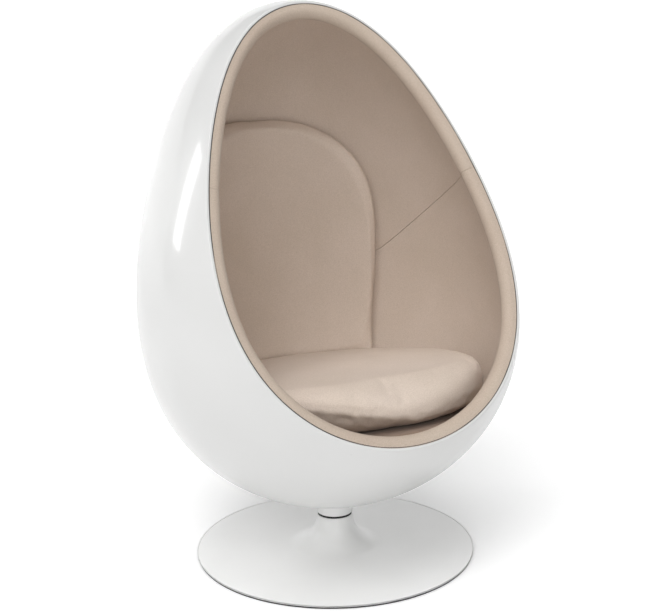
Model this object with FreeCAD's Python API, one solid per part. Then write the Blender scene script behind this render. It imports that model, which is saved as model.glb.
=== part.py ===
import FreeCAD, Part
import math
import os
from functools import lru_cache
from FreeCAD import Placement, Rotation, Vector

# Egg-shaped chair that turns on a round base. Lengths are millimetres and angles are degrees.
# The origin is on the floor, on the swivel axis. +Z is up and the opening faces -Y.

# Egg: a body of revolution about an axis that leans back, fuller at the bottom than at the top
egg_length = 1190.0
egg_radius = 442.0
egg_fullness = (0.244, 0.057, -0.080)
egg_lean = 16.7
egg_clearance = 129.4      # lowest point of the shell above the floor
egg_setback = 16.0         # how far that point lies behind the swivel axis
pole_margin = 0.003        # outline stops this short of each pole, which leaves a tiny flat there
shell_wall = 5.0

# Opening: a flat cut that leans back, at this distance from the egg's bottom pole
opening_lean = 28.0
opening_distance = 340.0

# Padding inside the shell
soft_gap = 0.3             # clearance of soft pieces from what they lie against
bead_radius = 1.4
bead_sides = 8
roll_radius = 18.5
lining_gap = 0.7           # clearance of the lining from the shell
lining_thickness = 21.3
seam_front = (-98.0, 908.0)   # side seam from the opening to the back, as (y, z)
seam_middle = (60.0, 845.0)
seam_back = (296.0, 668.0)
seam_gap = 0.6

# Seat: planes that fall towards the back, with heights given on the swivel axis
seat_lean = 7.4
cushion_bottom = 341.0
deck_thickness = 20.0
board_thickness = 12.0
cushion_radius = 364.0
cushion_back_shift = -10.0
cushion_front = 318.0      # from the cushion's centre to its flattened front
cushion_front_radius = 700.0
cushion_corner_radius = 150.0
cushion_seam_height = 45.0
# Seat cushion's form: height from its widest level, and how far its outline draws in there
cushion_form = ((-44.0, 52.0), (-36.0, 26.0), (-21.0, 7.0), (0.0, 0.0), (24.0, 3.0), (43.0, 18.0),
                (55.0, 48.0), (63.0, 104.0), (67.0, 180.0))

# Back cushion: an arch seen from the front, on the lining behind it
back_half_width = 282.0
back_foot_half_width = 256.0
back_arch_centre = 690.0
back_arch_rise = 326.0
back_foot = 385.0
back_front_inset = 62.0    # front face: the egg's surface this far in, moved forward for the crown
back_crown = 22.0

# Base
base_radius = 333.5
pad_thickness = 6.0
pad_inset = 1.5
plate_room = 1.0           # height left between the plate's edge and the cover
plate_thickness = 6.0
plate_bore = 24.0
cover_wall = 1.5
cover_rise = 19.0          # top of the nearly flat cone, where the flare starts
flare_radius = 72.0
neck_radius = 42.5
neck_height = 89.5
rim_drop = 3.2

# Swivel
post_radius = 30.0
post_bore = 22.0
post_top = 84.0
flange_radius = 60.0
flange_thickness = 8.0
bush_length = 20.0
lower_bush_height = 26.0
spindle_radius = 15.0
running_gap = 0.05
fixed_gap = 0.02
race_inner = 18.0
race_outer = 28.0
race_thickness = 3.5
ball_radius = 3.5
ball_circle = 23.0
ball_count = 12
groove_depth = 1.0
cage_thickness = 3.0
cage_inner = 19.5
cage_outer = 26.5
hub_radius = 42.0
hub_skirt = 4.0
hub_skirt_drop = 1.5
neck_ring_inner = 30.3
neck_ring_outer = 40.0
neck_ring_gap = 1.5
spindle_depth = 124.0      # top of the spindle, inside the hub
washer_thickness = 3.0
ring_thickness = 2.0
ring_groove = 1.2
end_play = 0.3

# Fixings
screw_radius = 4.0
screw_head_radius = 8.0
post_screw_count = 6
post_screw_circle = 46.0
hub_bolt_count = 4
hub_bolt_circle = 28.0
hub_bolt_length = 45.0
bolt_head_flats = 13.0
bolt_head_height = 5.3
bolt_washer_radius = 8.0
bolt_washer_thickness = 1.6
bolt_hole_radius = 4.4
thread_gap = 0.05
clamp_radius = 80.0
clamp_thickness = 5.0
clamp_height = 146.0       # underside of the clamp plate
block_pocket_radius = 88.0
block_pocket_height = 168.0

far = 1500.0               # half the size of the cutting blocks, larger than the chair
x_axis = Vector(1, 0, 0)
z_axis = Vector(0, 0, 1)
centre = Vector(0, 0, 0)


def egg_fill(t):
    """Width of the egg at parameter t, from 0 at the bottom pole to pi at the top, before scaling."""
    c = math.cos(t)
    a, b, d = egg_fullness
    return math.sin(t) * (1 + a * c + b * c * c + d * c ** 3)


def egg_fill_slope(t):
    """Rate of change of egg_fill."""
    c, s = math.cos(t), math.sin(t)
    a, b, d = egg_fullness
    return c * (1 + a * c + b * c * c + d * c ** 3) - s * s * (a + 2 * b * c + 3 * d * c * c)


egg_steps = [pole_margin + (math.pi - 2 * pole_margin) * i / 28 for i in range(29)]
egg_scale = egg_radius / max(egg_fill(math.pi * i / 500) for i in range(501))


def egg_point(t, inset):
    """Point of the egg's outline as (radius, height), moved inwards at right angles to the wall."""
    radius, height = egg_scale * egg_fill(t), egg_length * (1 - math.cos(t)) / 2
    across, up = egg_scale * egg_fill_slope(t), egg_length * math.sin(t) / 2
    length = math.hypot(across, up)
    return max(0.0, radius - inset * up / length), height + inset * across / length


def egg_placement():
    """Leans the egg back and sets its lowest point at its height, just behind the swivel axis."""
    lean = math.radians(egg_lean)
    heights = []
    for i in range(2001):
        radius, height = egg_point(math.pi * i / 4000, 0)
        down = height * math.cos(lean) - radius * math.sin(lean)
        heights.append((down, radius * math.cos(lean) + height * math.sin(lean)))
    lowest, behind = min(heights)
    pole = Vector(0, egg_setback - behind, egg_clearance - lowest)
    return Placement(pole, Rotation(x_axis, -egg_lean))


egg_place = egg_placement()
opening_normal = Vector(0, -math.cos(math.radians(opening_lean)), math.sin(math.radians(opening_lean)))
opening_offset = opening_distance + opening_normal.dot(egg_place.Base)


@lru_cache(maxsize=None)
def egg(inset):
    """Solid egg, in two halves joined, whose surface lies this far inside the shell's outer surface."""
    points = [Vector(r, 0, z) for r, z in (egg_point(t, inset) for t in egg_steps)]
    curve = Part.BSplineCurve()
    curve.interpolate(Points=points)
    low, high = Vector(0, 0, points[0].z), Vector(0, 0, points[-1].z)
    edges = [curve.toShape(), Part.makeLine(points[-1], high), Part.makeLine(high, low), Part.makeLine(low, points[0])]
    outline = Part.Face(Part.Wire(edges))
    outline.rotate(centre, z_axis, -90)
    right = outline.revolve(centre, z_axis, 180)
    outline.rotate(centre, z_axis, 180)
    left = outline.revolve(centre, z_axis, 180)
    solid = right.fuse(left)
    solid.Placement = egg_place
    return solid


def behind_opening(depth):
    """Block of everything that lies more than the given depth behind the opening plane."""
    block = Part.makeBox(2 * far, 2 * far, 2 * far, Vector(-far, 0, -far))
    block.Placement = Placement(opening_normal * (opening_offset - depth), Rotation(x_axis, -opening_lean))
    return block


def seat_layer(low, high):
    """Block between two planes parallel to the seat, given by their heights on the swivel axis."""
    cosine = math.cos(math.radians(seat_lean))
    block = Part.makeBox(2 * far, 2 * far, (high - low) * cosine, Vector(-far, -far, 0))
    block.Placement = Placement(Vector(0, 0, low), Rotation(x_axis, -seat_lean))
    return block


def cylinder(radius, low, high):
    """Upright cylinder on the swivel axis."""
    return Part.makeCylinder(radius, high - low, Vector(0, 0, low), z_axis)


def ring(inner, outer, low, high):
    """Upright ring on the swivel axis."""
    return cylinder(outer, low, high).cut(cylinder(inner, low, high))


def turned(points):
    """Solid turned about the swivel axis from straight runs between (radius, height) points."""
    corners = [Vector(r, 0, z) for r, z in points]
    outline = Part.makePolygon(corners + corners[:1])
    return Part.Face(outline).revolve(centre, z_axis, 360)


def on_circle(radius, count, turn=0.0):
    """Places evenly spaced on a circle round the swivel axis."""
    places = []
    for i in range(count):
        angle = math.radians(turn + 360.0 * i / count)
        places.append(Vector(radius * math.cos(angle), radius * math.sin(angle), 0))
    return places


def moved(shape, offset):
    """Copy of a shape, moved."""
    copy = shape.copy()
    copy.translate(offset)
    return copy


def cut_all(shape, tools):
    """Shape with each tool cut from it."""
    for tool in tools:
        shape = shape.cut(tool)
    return shape


# Base, which stands on the floor

plate_bottom = pad_thickness
plate_top = plate_bottom + plate_thickness
flange_top = plate_top + flange_thickness
race_top = post_top + 2 * (race_thickness - groove_depth + ball_radius)
hub_bottom = race_top
screw_head_height = screw_head_radius - screw_radius


def floor_pad():
    return cylinder(base_radius - pad_inset, 0, pad_thickness)


def post_screw():
    """Countersunk screw, head down, at the swivel axis."""
    head = Part.makeCone(screw_head_radius, screw_radius, screw_head_height, Vector(0, 0, plate_bottom), z_axis)
    return head.fuse(cylinder(screw_radius, plate_bottom + screw_head_height, flange_top)).removeSplitter()


def post_screw_hole(gap):
    """Room for a countersunk screw, at the swivel axis."""
    head = Part.makeCone(screw_head_radius + gap, screw_radius + gap, screw_head_height,
                         Vector(0, 0, plate_bottom), z_axis)
    return head.fuse(cylinder(screw_radius + gap, plate_bottom, flange_top))


def plate_radius():
    """Radius at which the cover's underside is just clear of the plate."""
    foot, shoulder = cover_outline(cover_wall)[2:4]
    share = (foot.z - plate_top - plate_room) / (foot.z - shoulder.z)
    return foot.x + (shoulder.x - foot.x) * share


def ballast_plate():
    holes = [moved(post_screw_hole(thread_gap), p) for p in on_circle(post_screw_circle, post_screw_count)]
    return cut_all(ring(plate_bore, plate_radius(), plate_bottom, plate_top), holes)


def post_screws():
    return Part.makeCompound([moved(post_screw(), p) for p in on_circle(post_screw_circle, post_screw_count)])


def post():
    body = cylinder(post_radius, plate_top, post_top).fuse(cylinder(flange_radius, plate_top, flange_top))
    body = body.cut(cylinder(post_bore, plate_top, post_top)).removeSplitter()
    holes = [moved(post_screw_hole(thread_gap), p) for p in on_circle(post_screw_circle, post_screw_count)]
    return cut_all(body, holes)


def cover_outline(inset):
    """Cover's outline from the rim up to the neck, moved inwards, as edges."""
    flare = flare_radius + inset
    flare_centre = (neck_radius + flare_radius, neck_height)
    slope = math.atan2(cover_rise - pad_thickness - rim_drop, base_radius - flare_centre[0])
    foot = Vector(flare_centre[0] - flare * math.sin(slope), 0, flare_centre[1] - flare * math.cos(slope))
    middle_angle = math.radians(45) + slope / 2
    middle = Vector(flare_centre[0] - flare * math.sin(middle_angle), 0,
                    flare_centre[1] - flare * math.cos(middle_angle))
    neck = Vector(neck_radius - inset, 0, neck_height)
    edge = base_radius - inset
    shoulder = Vector(edge, 0, foot.z - (edge - foot.x) * math.tan(slope))
    rim = Vector(edge, 0, pad_thickness)
    return neck, middle, foot, shoulder, rim


def base_cover():
    neck, middle, foot, shoulder, rim = cover_outline(0)
    neck_in, middle_in, foot_in, shoulder_in, rim_in = cover_outline(cover_wall)
    edges = [
        Part.Arc(neck, middle, foot).toShape(),
        Part.makeLine(foot, shoulder),
        Part.makeLine(shoulder, rim),
        Part.makeLine(rim, rim_in),
        Part.makeLine(rim_in, shoulder_in),
        Part.makeLine(shoulder_in, foot_in),
        Part.Arc(foot_in, middle_in, neck_in).toShape(),
        Part.makeLine(neck_in, neck),
    ]
    return Part.Face(Part.Wire(edges)).revolve(centre, z_axis, 360)


def neck_ring():
    """Collar that fills the gap between cover and post, and hides the bearing."""
    outer = neck_radius - cover_wall - soft_gap
    low = neck_height - 12.0
    ledge = neck_height - 4.0
    top = hub_bottom - hub_skirt_drop - neck_ring_gap
    return turned([(neck_ring_inner, low), (outer, low), (outer, ledge),
                   (neck_ring_outer, neck_height), (neck_ring_outer, top), (neck_ring_inner, top)])


def lower_bush():
    return ring(spindle_radius + running_gap, post_bore - fixed_gap, lower_bush_height,
                lower_bush_height + bush_length)


def upper_bush():
    return ring(spindle_radius + running_gap, post_bore - fixed_gap, post_top - bush_length, post_top)


def race(low, ball_height):
    """Bearing washer with its ball groove."""
    groove = Part.makeTorus(ball_circle, ball_radius + running_gap, Vector(0, 0, ball_height), z_axis)
    return ring(race_inner, race_outer, low, low + race_thickness).cut(groove)


ball_height = post_top + race_thickness - groove_depth + ball_radius


def lower_race():
    return race(post_top, ball_height)


# Bearing cage, which turns at half the chair's speed

def bearing_balls():
    ball = Part.makeSphere(ball_radius, Vector(0, 0, ball_height))
    return Part.makeCompound([moved(ball, p) for p in on_circle(ball_circle, ball_count)])


def ball_cage():
    body = ring(cage_inner, cage_outer, ball_height - cage_thickness / 2, ball_height + cage_thickness / 2)
    pocket = Part.makeSphere(ball_radius + running_gap, Vector(0, 0, ball_height))
    return cut_all(body, [moved(pocket, p) for p in on_circle(ball_circle, ball_count)])


# Pod, which turns on the base

def upper_race():
    return race(race_top - race_thickness, ball_height)


def spindle():
    """Shaft with a groove for the retaining ring near its lower end."""
    washer_low = lower_bush_height - end_play - washer_thickness
    groove = ring(spindle_radius - ring_groove, spindle_radius + 1, washer_low - ring_thickness, washer_low)
    return cylinder(spindle_radius, washer_low - 2 * ring_thickness - 1, spindle_depth).cut(groove)


def spindle_washer():
    high = lower_bush_height - end_play
    return ring(spindle_radius + running_gap, post_bore - 1, high - washer_thickness, high)


def retaining_ring():
    """Spring ring with the gap that lets it open."""
    high = lower_bush_height - end_play - washer_thickness
    low = high - ring_thickness
    body = ring(spindle_radius - ring_groove + fixed_gap, post_bore - 3, low + fixed_gap, high - fixed_gap)
    gap = Part.makeBox(post_bore, 8, ring_thickness, Vector(0, -4, low))
    return body.cut(gap)


def swivel_hub():
    """Cast hub whose top fits the shell's underside."""
    body = cylinder(hub_radius, hub_bottom, clamp_height)
    skirt = ring(hub_radius - hub_skirt, hub_radius, hub_bottom - hub_skirt_drop, hub_bottom)
    body = body.fuse(skirt).removeSplitter()
    body = body.cut(egg(-fixed_gap)).cut(cylinder(spindle_radius + fixed_gap, hub_bottom, spindle_depth))
    threads = [moved(hub_bolt_hole(screw_radius + thread_gap), p) for p in hub_bolt_places()]
    return cut_all(body, threads)


def hub_bolt_places():
    return on_circle(hub_bolt_circle, hub_bolt_count, 45.0)


hub_bolt_top = clamp_height + clamp_thickness + bolt_washer_thickness


def hub_bolt_hole(radius):
    """Room for a bolt's shank, at the swivel axis."""
    return cylinder(radius, hub_bolt_top - hub_bolt_length - thread_gap, hub_bolt_top)


def hub_bolts():
    across_corners = bolt_head_flats / math.cos(math.radians(30)) / 2
    corners = [Vector(across_corners, 0, hub_bolt_top)]
    corners += [Rotation(z_axis, 60.0 * i).multVec(corners[0]) for i in range(1, 6)]
    head = Part.Face(Part.makePolygon(corners + corners[:1])).extrude(z_axis * bolt_head_height)
    bolt = head.fuse(cylinder(screw_radius, hub_bolt_top - hub_bolt_length, hub_bolt_top)).removeSplitter()
    return Part.makeCompound([moved(bolt, p) for p in hub_bolt_places()])


def bolt_washers():
    low = clamp_height + clamp_thickness
    washer = ring(bolt_hole_radius, bolt_washer_radius, low, hub_bolt_top)
    return Part.makeCompound([moved(washer, p) for p in hub_bolt_places()])


def bolt_clearances():
    return [moved(hub_bolt_hole(bolt_hole_radius), p) for p in hub_bolt_places()]


def clamp_plate():
    return cut_all(cylinder(clamp_radius, clamp_height, clamp_height + clamp_thickness), bolt_clearances())


def mounting_pad():
    """Dished core that fills the space between the flat plate and the curved shell."""
    body = cylinder(clamp_radius, egg_clearance, clamp_height).common(egg(shell_wall + soft_gap))
    return cut_all(body, bolt_clearances())


def outer_shell():
    wall = egg(0).cut(egg(shell_wall)).common(behind_opening(0))
    return cut_all(wall, bolt_clearances())


@lru_cache(maxsize=None)
def opening_tube(middle, radius, sides=0):
    """Tube round the opening, flush with its plane; its middle runs this far inside the egg."""
    depth = middle - shell_wall
    section = egg(middle).slice(opening_normal, opening_offset - depth)[0]
    points = section.discretize(Number=49)[:-1]
    path = Part.BSplineCurve()
    path.interpolate(Points=points, PeriodicFlag=True)
    start = path.value(path.FirstParameter)
    along = path.tangent(path.FirstParameter)[0]
    circle = Part.Circle(start, along, radius).toShape()
    outline = Part.Wire([circle])
    if sides:
        corners = circle.discretize(Number=sides + 1)
        outline = Part.makePolygon(corners[:-1] + corners[:1])
    return Part.Wire([path.toShape()]).makePipeShell([outline], True, False)


def rim_bead():
    return opening_tube(shell_wall + bead_radius + fixed_gap, bead_radius, bead_sides)


roll_middle = shell_wall + soft_gap + roll_radius
# past this depth behind the opening plane, pieces clear the roll
roll_depth = roll_middle - shell_wall + roll_radius + 2 * soft_gap


@lru_cache(maxsize=None)
def full_roll():
    """Roll round the whole opening, flattened against the bead."""
    bead_room = opening_tube(shell_wall + bead_radius + fixed_gap, bead_radius + soft_gap, bead_sides)
    return opening_tube(roll_middle, roll_radius).cut(bead_room)


def seam_side(gap, side):
    """Block of everything above the side seam (side 1) or below it (side -1), a gap away from it."""
    front, middle, back = (Vector(-far, y, z + side * gap) for y, z in (seam_front, seam_middle, seam_back))
    before = front + (front - middle) * 2
    behind = back + (back - middle) * 2
    end_front = Vector(-far, before.y, side * 2 * far)
    end_back = Vector(-far, behind.y, side * 2 * far)
    edges = [Part.makeLine(before, front), Part.Arc(front, middle, back).toShape(), Part.makeLine(back, behind)]
    edges += [Part.makeLine(behind, end_back), Part.makeLine(end_back, end_front), Part.makeLine(end_front, before)]
    return Part.Face(Part.Wire(edges)).extrude(x_axis * 2 * far)


def upper_roll():
    return full_roll().common(seam_side(seam_gap / 2, 1))


def lower_roll():
    return full_roll().common(seam_side(seam_gap / 2, -1))


@lru_cache(maxsize=None)
def full_lining():
    wall = egg(shell_wall + lining_gap).cut(egg(shell_wall + lining_gap + lining_thickness))
    return wall.common(behind_opening(roll_depth))


def hood_lining():
    return full_lining().common(seam_side(seam_gap / 2, 1))


def bowl_lining():
    """Lining below the seams, open round the clamp plate."""
    plate_room = cylinder(clamp_radius + 2, egg_clearance, block_pocket_height)
    return full_lining().common(seam_side(seam_gap / 2, -1)).cut(plate_room)


lining_inset = shell_wall + lining_gap + lining_thickness + soft_gap
deck_bottom = cushion_bottom - soft_gap - deck_thickness
board_bottom = deck_bottom - soft_gap - board_thickness


def fitted_layer(low, high):
    """Piece that fills the lined egg between two planes parallel to the seat, behind the roll."""
    return egg(lining_inset).common(behind_opening(roll_depth)).common(seat_layer(low, high))


def deck_pad():
    return fitted_layer(deck_bottom, cushion_bottom - soft_gap)


def seat_board():
    return fitted_layer(board_bottom, deck_bottom - soft_gap)


def seat_block():
    """Foam block under the board, with a pocket for the plate and the bolts."""
    pocket = cylinder(block_pocket_radius, egg_clearance, block_pocket_height)
    return fitted_layer(0, board_bottom - soft_gap).cut(pocket)


def cushion_outline(height, draw_in):
    """Seat cushion's outline: a circle flattened at the front, with rounded corners, in the seat's plane."""
    big = cushion_radius - draw_in
    front = cushion_front - draw_in
    flat = cushion_front_radius - draw_in
    corner = cushion_corner_radius - draw_in / 2
    flat_centre = flat - front
    # Corner arcs touch the circle and the front arc from inside
    to_circle, to_flat = big - corner, flat - corner
    corner_y = (to_circle ** 2 - to_flat ** 2 + flat_centre ** 2) / (2 * flat_centre)
    corner_x = math.sqrt(to_circle ** 2 - corner_y ** 2)
    on_side = Vector(corner_x, corner_y, 0) * (big / to_circle)
    to_corner = Vector(corner_x, corner_y - flat_centre, 0)
    on_front = Vector(0, flat_centre, 0) + to_corner * (flat / to_flat)
    middle = Vector(corner_x, corner_y, 0)
    middle += ((on_side + on_front) * 0.5 - middle).normalize() * corner
    side_angle = (math.atan2(on_side.y, on_side.x) + math.pi / 2) / 2
    side_middle = Vector(big * math.cos(side_angle), big * math.sin(side_angle), 0)
    rear = Vector(0, big, 0)
    nose = Vector(0, -front, 0)

    def mirrored(point):
        return Vector(-point.x, point.y, 0)

    front_middle_x = on_front.x / 2
    front_middle = Vector(front_middle_x, flat_centre - math.sqrt(flat ** 2 - front_middle_x ** 2), 0)
    edges = [
        Part.Arc(rear, side_middle, on_side),
        Part.Arc(on_side, middle, on_front),
        Part.Arc(on_front, front_middle, nose),
        Part.Arc(nose, mirrored(front_middle), mirrored(on_front)),
        Part.Arc(mirrored(on_front), mirrored(middle), mirrored(on_side)),
        Part.Arc(mirrored(on_side), mirrored(side_middle), rear),
    ]
    wire = Part.Wire([edge.toShape() for edge in edges])
    wire.translate(Vector(0, cushion_back_shift, height))
    return wire


def cushion_body(grow):
    """Seat cushion's crowned form, grown by a clearance."""
    sections = []
    for height, draw_in in cushion_form:
        lift = grow if height > 0 else -grow
        sections.append(cushion_outline(height + lift, draw_in - grow))
    body = Part.makeLoft(sections, True, False)
    seam_height = cushion_bottom + cushion_seam_height
    body.Placement = Placement(Vector(0, 0, seam_height), Rotation(x_axis, -seat_lean))
    return body


def seat_cushion():
    """Loose cushion, held inside the lined egg and clear of the roll."""
    room = egg(lining_inset).common(behind_opening(0))
    roll_room = opening_tube(roll_middle, roll_radius + 2 * soft_gap)
    return cushion_body(0).common(room).cut(roll_room)


def back_outline():
    """Arch of the back cushion, seen from the front."""
    spring = Vector(back_half_width, 0, back_arch_centre)
    foot = Vector(back_foot_half_width, 0, back_foot)
    apex = Vector(0, 0, back_arch_centre + back_arch_rise)
    arch = Part.Ellipse(apex, spring, Vector(0, 0, back_arch_centre))
    if back_half_width > back_arch_rise:
        arch = Part.Ellipse(spring, apex, Vector(0, 0, back_arch_centre))
    right = arch.toShape().common(Part.makeBox(far, 2, 2 * far, Vector(0, -1, back_arch_centre)))
    left = right.mirror(centre, x_axis)
    side_middle = (spring + foot) * 0.5 + Vector(4, 0, 0)

    def mirrored(point):
        return Vector(-point.x, 0, point.z)

    edges = [Part.Arc(foot, side_middle, spring).toShape()] + right.Edges + left.Edges
    edges += [Part.Arc(mirrored(spring), mirrored(side_middle), mirrored(foot)).toShape()]
    edges += [Part.makeLine(mirrored(foot), foot)]
    return Part.Wire(Part.sortEdges(edges)[0])


def back_cushion():
    """Cushion that follows the lining behind it, thickest in the middle and thinner at its edges."""
    prism = Part.Face(back_outline()).extrude(Vector(0, far, 0))
    front = moved(egg(back_front_inset), Vector(0, -back_crown, 0))
    body = prism.common(egg(lining_inset)).cut(front)
    body = max(body.Solids, key=lambda solid: solid.Volume)
    return body.cut(cushion_body(soft_gap))


sub_parts = [
    floor_pad, ballast_plate, base_cover, neck_ring, post, post_screws, lower_bush, upper_bush, lower_race,
    ball_cage, bearing_balls,
    upper_race, swivel_hub, spindle, spindle_washer, retaining_ring, hub_bolts, bolt_washers, clamp_plate,
    mounting_pad, outer_shell, rim_bead, upper_roll, lower_roll, hood_lining, bowl_lining, seat_block,
    seat_board, deck_pad, seat_cushion, back_cushion,
]

os.makedirs("parts", exist_ok=True)
for make in sub_parts:
    shape = make()
    shape.exportStep("parts/" + make.__name__ + ".step")
    box = shape.BoundBox
    print(make.__name__, len(shape.Solids), "solid", "valid" if shape.isValid() else "NOT VALID",
          "volume %.1f cm3" % (shape.Volume / 1000),
          "x %.1f..%.1f y %.1f..%.1f z %.1f..%.1f" % (box.XMin, box.XMax, box.YMin, box.YMax, box.ZMin, box.ZMax))
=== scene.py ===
import math
from functools import lru_cache

import bmesh
import bpy
import numpy as np
from mathutils import Matrix, Vector


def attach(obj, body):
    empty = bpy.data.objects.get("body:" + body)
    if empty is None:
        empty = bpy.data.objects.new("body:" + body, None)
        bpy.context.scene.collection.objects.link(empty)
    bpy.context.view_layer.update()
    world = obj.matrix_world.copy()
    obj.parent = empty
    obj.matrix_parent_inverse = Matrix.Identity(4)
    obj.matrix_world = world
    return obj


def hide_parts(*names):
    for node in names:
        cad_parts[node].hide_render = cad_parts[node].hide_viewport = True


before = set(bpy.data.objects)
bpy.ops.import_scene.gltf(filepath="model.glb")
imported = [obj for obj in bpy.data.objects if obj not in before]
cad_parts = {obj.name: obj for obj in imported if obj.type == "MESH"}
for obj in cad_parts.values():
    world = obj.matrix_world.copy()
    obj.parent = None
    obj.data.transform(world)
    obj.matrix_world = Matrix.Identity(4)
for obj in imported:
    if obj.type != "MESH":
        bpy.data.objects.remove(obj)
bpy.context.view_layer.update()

bl_info = {
    "name": "Swivel egg chair",
    "version": (1, 0, 0),
    "blender": (4, 5, 0),
    "location": "View3D > Sidebar > Egg chair",
    "description": "Builds the looks of a swivel egg chair round its fixed frame",
    "category": "Add Mesh",
}

# Shape of the frame that the pieces follow, in metres and degrees.
# The origin is on the floor, on the swivel axis. +Z is up, and the opening faces -Y.
EGG_LENGTH = 1.190
EGG_RADIUS = 0.442
EGG_FULLNESS = (0.244, 0.057, -0.080)
EGG_LEAN = 16.7
EGG_CLEARANCE = 0.1294
EGG_SETBACK = 0.016
HEART_HEIGHT = 0.500          # point on the egg's axis that all its surfaces are measured from
OPENING_LEAN = 28.0
OPENING_DISTANCE = 0.340
SHELL_WALL = 0.005
SHELL_LIP = 0.0013            # radius of the rounded lip at the opening
BEAD_INSET = 0.00642
BEAD_DEPTH = 0.00142
LINING_INNER = 0.0270         # inset of the lining's visible side
LINING_THICKNESS = 0.0130
SOFT_INSET = 0.0280           # soft pieces on the lining stay this far inside the egg
ROLL_ROOM = 0.0395            # and this far behind the opening, clear of the roll
SOFT_GAP = 0.0003             # clearance of the roll from the shell and from the opening plane
SEAM = ((-0.098, 0.908), (0.060, 0.845), (0.296, 0.668))
SEAT_LEAN = 7.4
CUSHION_LEAN = 8.6            # the cushion's top falls a little more than the deck
CUSHION_BOTTOM = 0.3435
CUSHION_TOP = 0.447
SEAT_RADIUS = 0.350           # cushion's outline: a circle,
SEAT_FRONT = 0.314            # cut this far in front of its centre
SEAT_FRONT_RADIUS = 0.700     # by an arc of this radius,
SEAT_CORNER = 10.0            # with sharper corners where this is more
SEAT_SETBACK = 0.010          # how far its centre lies in front of the swivel axis
BACK_FOOT = 0.382
BACK_INSET = 0.062            # back cushion's front follows the egg this far in,
BACK_FORWARD = 0.022          # moved forward by this much
BACK_EDGE = 0.030             # radius of its rounded edge
BACK_HALF = 0.290             # half its width
BACK_SPRING = 0.648           # height at which its arch starts,
BACK_RISE = 0.362             # and how far it rises
BACK_DRAW_IN = 0.036          # how much narrower its foot is on each side
BACK_CORNER = 0.014           # radius of the corners at its foot
DECK_HEIGHT = 0.3407
DECK_THICKNESS = 0.020
BLOCK_HEIGHT = 0.3081
POCKET_RADIUS = 0.089
POCKET_HEIGHT = 0.169
BASE_RADIUS = 0.3335
PAD_THICKNESS = 0.006
PAD_INSET = 0.0015
COVER_WALL = 0.0015
COVER_RISE = 0.019
RIM_DROP = 0.0032
FLARE_RADIUS = 0.072
NECK_RADIUS = 0.0425
NECK_HEIGHT = 0.0895
HUB_RADIUS = 0.042
HUB_BOTTOM = 0.0945
HUB_BORE = 0.016
HUB_RIM = 0.038               # inner radius of the rim at its bottom
HUB_HOLLOW = 0.0962           # height of its hollowed underside
HUB_STRAIGHT = 0.110          # height at which the hub's side starts to follow the shell

# Stage: the camera's place and lens fit the photograph
CAMERA_AZIMUTH = -27.76       # round from the front, towards -X
CAMERA_ELEVATION = 12.70
CAMERA_ROLL = -0.99
CAMERA_DISTANCE = 2.876       # from a point on the middle plane of the picture
CAMERA_AIM_HEIGHT = 0.59917
CAMERA_AIM_ACROSS = -0.00408
CAMERA_LENS = 67.37
CAMERA_SENSOR = 36
# Each lamp far away: name, azimuth, elevation and spread
SUNS = (("key", -58.0, 50.0, 30.0), ("front", -20.0, 30.0, 40.0), ("overhead", -30.0, 78.0, 40.0),
        ("low_left", -62.0, 16.0, 30.0))
WINDOW_PLACE = (-2.55, 1.80, 1.90)
WINDOW_TARGET = (-0.37, -0.05, 0.90)
WINDOW_WIDTH = 0.38
WINDOW_HEIGHT = 1.25
WINDOW_POWER = 16.0
WHITE = (1.0, 1.0, 1.0, 1.0)
FLOOR_GLOW = 0.13             # light that the floor adds for the camera and for reflections
FLOOR_REACH = 30.0
BACKDROP_DISTANCE = 9.0
BACKDROP_BEND = 4.0
BACKDROP_HEIGHT = 9.0


# Egg geometry

def egg_fill(t):
    """Width of the egg at t, from 0 at its bottom pole to pi at its top, before scaling."""
    c = np.cos(t)
    a, b, d = EGG_FULLNESS
    return np.sin(t) * (1 + a * c + b * c * c + d * c ** 3)


EGG_T = np.linspace(1e-4, math.pi - 1e-4, 2400)
LEAN = math.radians(EGG_LEAN)
EGG_AXIS = np.array([0, math.sin(LEAN), math.cos(LEAN)])


@lru_cache(maxsize=None)
def egg_outline(inset):
    """Radii and heights of the egg's outline, moved inwards at right angles to the wall."""
    fill = egg_fill(EGG_T)
    radius = EGG_RADIUS * fill / fill.max()
    height = EGG_LENGTH * (1 - np.cos(EGG_T)) / 2
    across, up = np.gradient(radius, EGG_T), np.gradient(height, EGG_T)
    length = np.hypot(across, up)
    return np.maximum(radius - inset * up / length, 0), height + inset * across / length


def egg_heart():
    """The egg's inner reference point, with the shell's lowest point at its height behind the swivel axis."""
    radius, height = egg_outline(0.0)
    down = height * math.cos(LEAN) - radius * math.sin(LEAN)
    lowest = down.argmin()
    behind = radius[lowest] * math.cos(LEAN) + height[lowest] * math.sin(LEAN)
    pole = np.array([0, EGG_SETBACK - behind, EGG_CLEARANCE - down[lowest]])
    return pole + EGG_AXIS * HEART_HEIGHT, pole


HEART, POLE = egg_heart()
TILT = math.radians(OPENING_LEAN)
NORMAL = np.array([0, -math.cos(TILT), math.sin(TILT)])
ACROSS = np.array([1.0, 0, 0])
UPWARD = np.array([0, math.sin(TILT), math.cos(TILT)])
OPENING_OFFSET = OPENING_DISTANCE + NORMAL @ POLE


@lru_cache(maxsize=None)
def egg_table(inset):
    """Angles from the egg's axis, seen from the heart, and the distance to the surface at each."""
    radius, height = egg_outline(inset)
    angle = np.arctan2(radius, height - HEART_HEIGHT)
    order = np.argsort(angle)
    return angle[order], np.hypot(radius, height - HEART_HEIGHT)[order]


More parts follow.
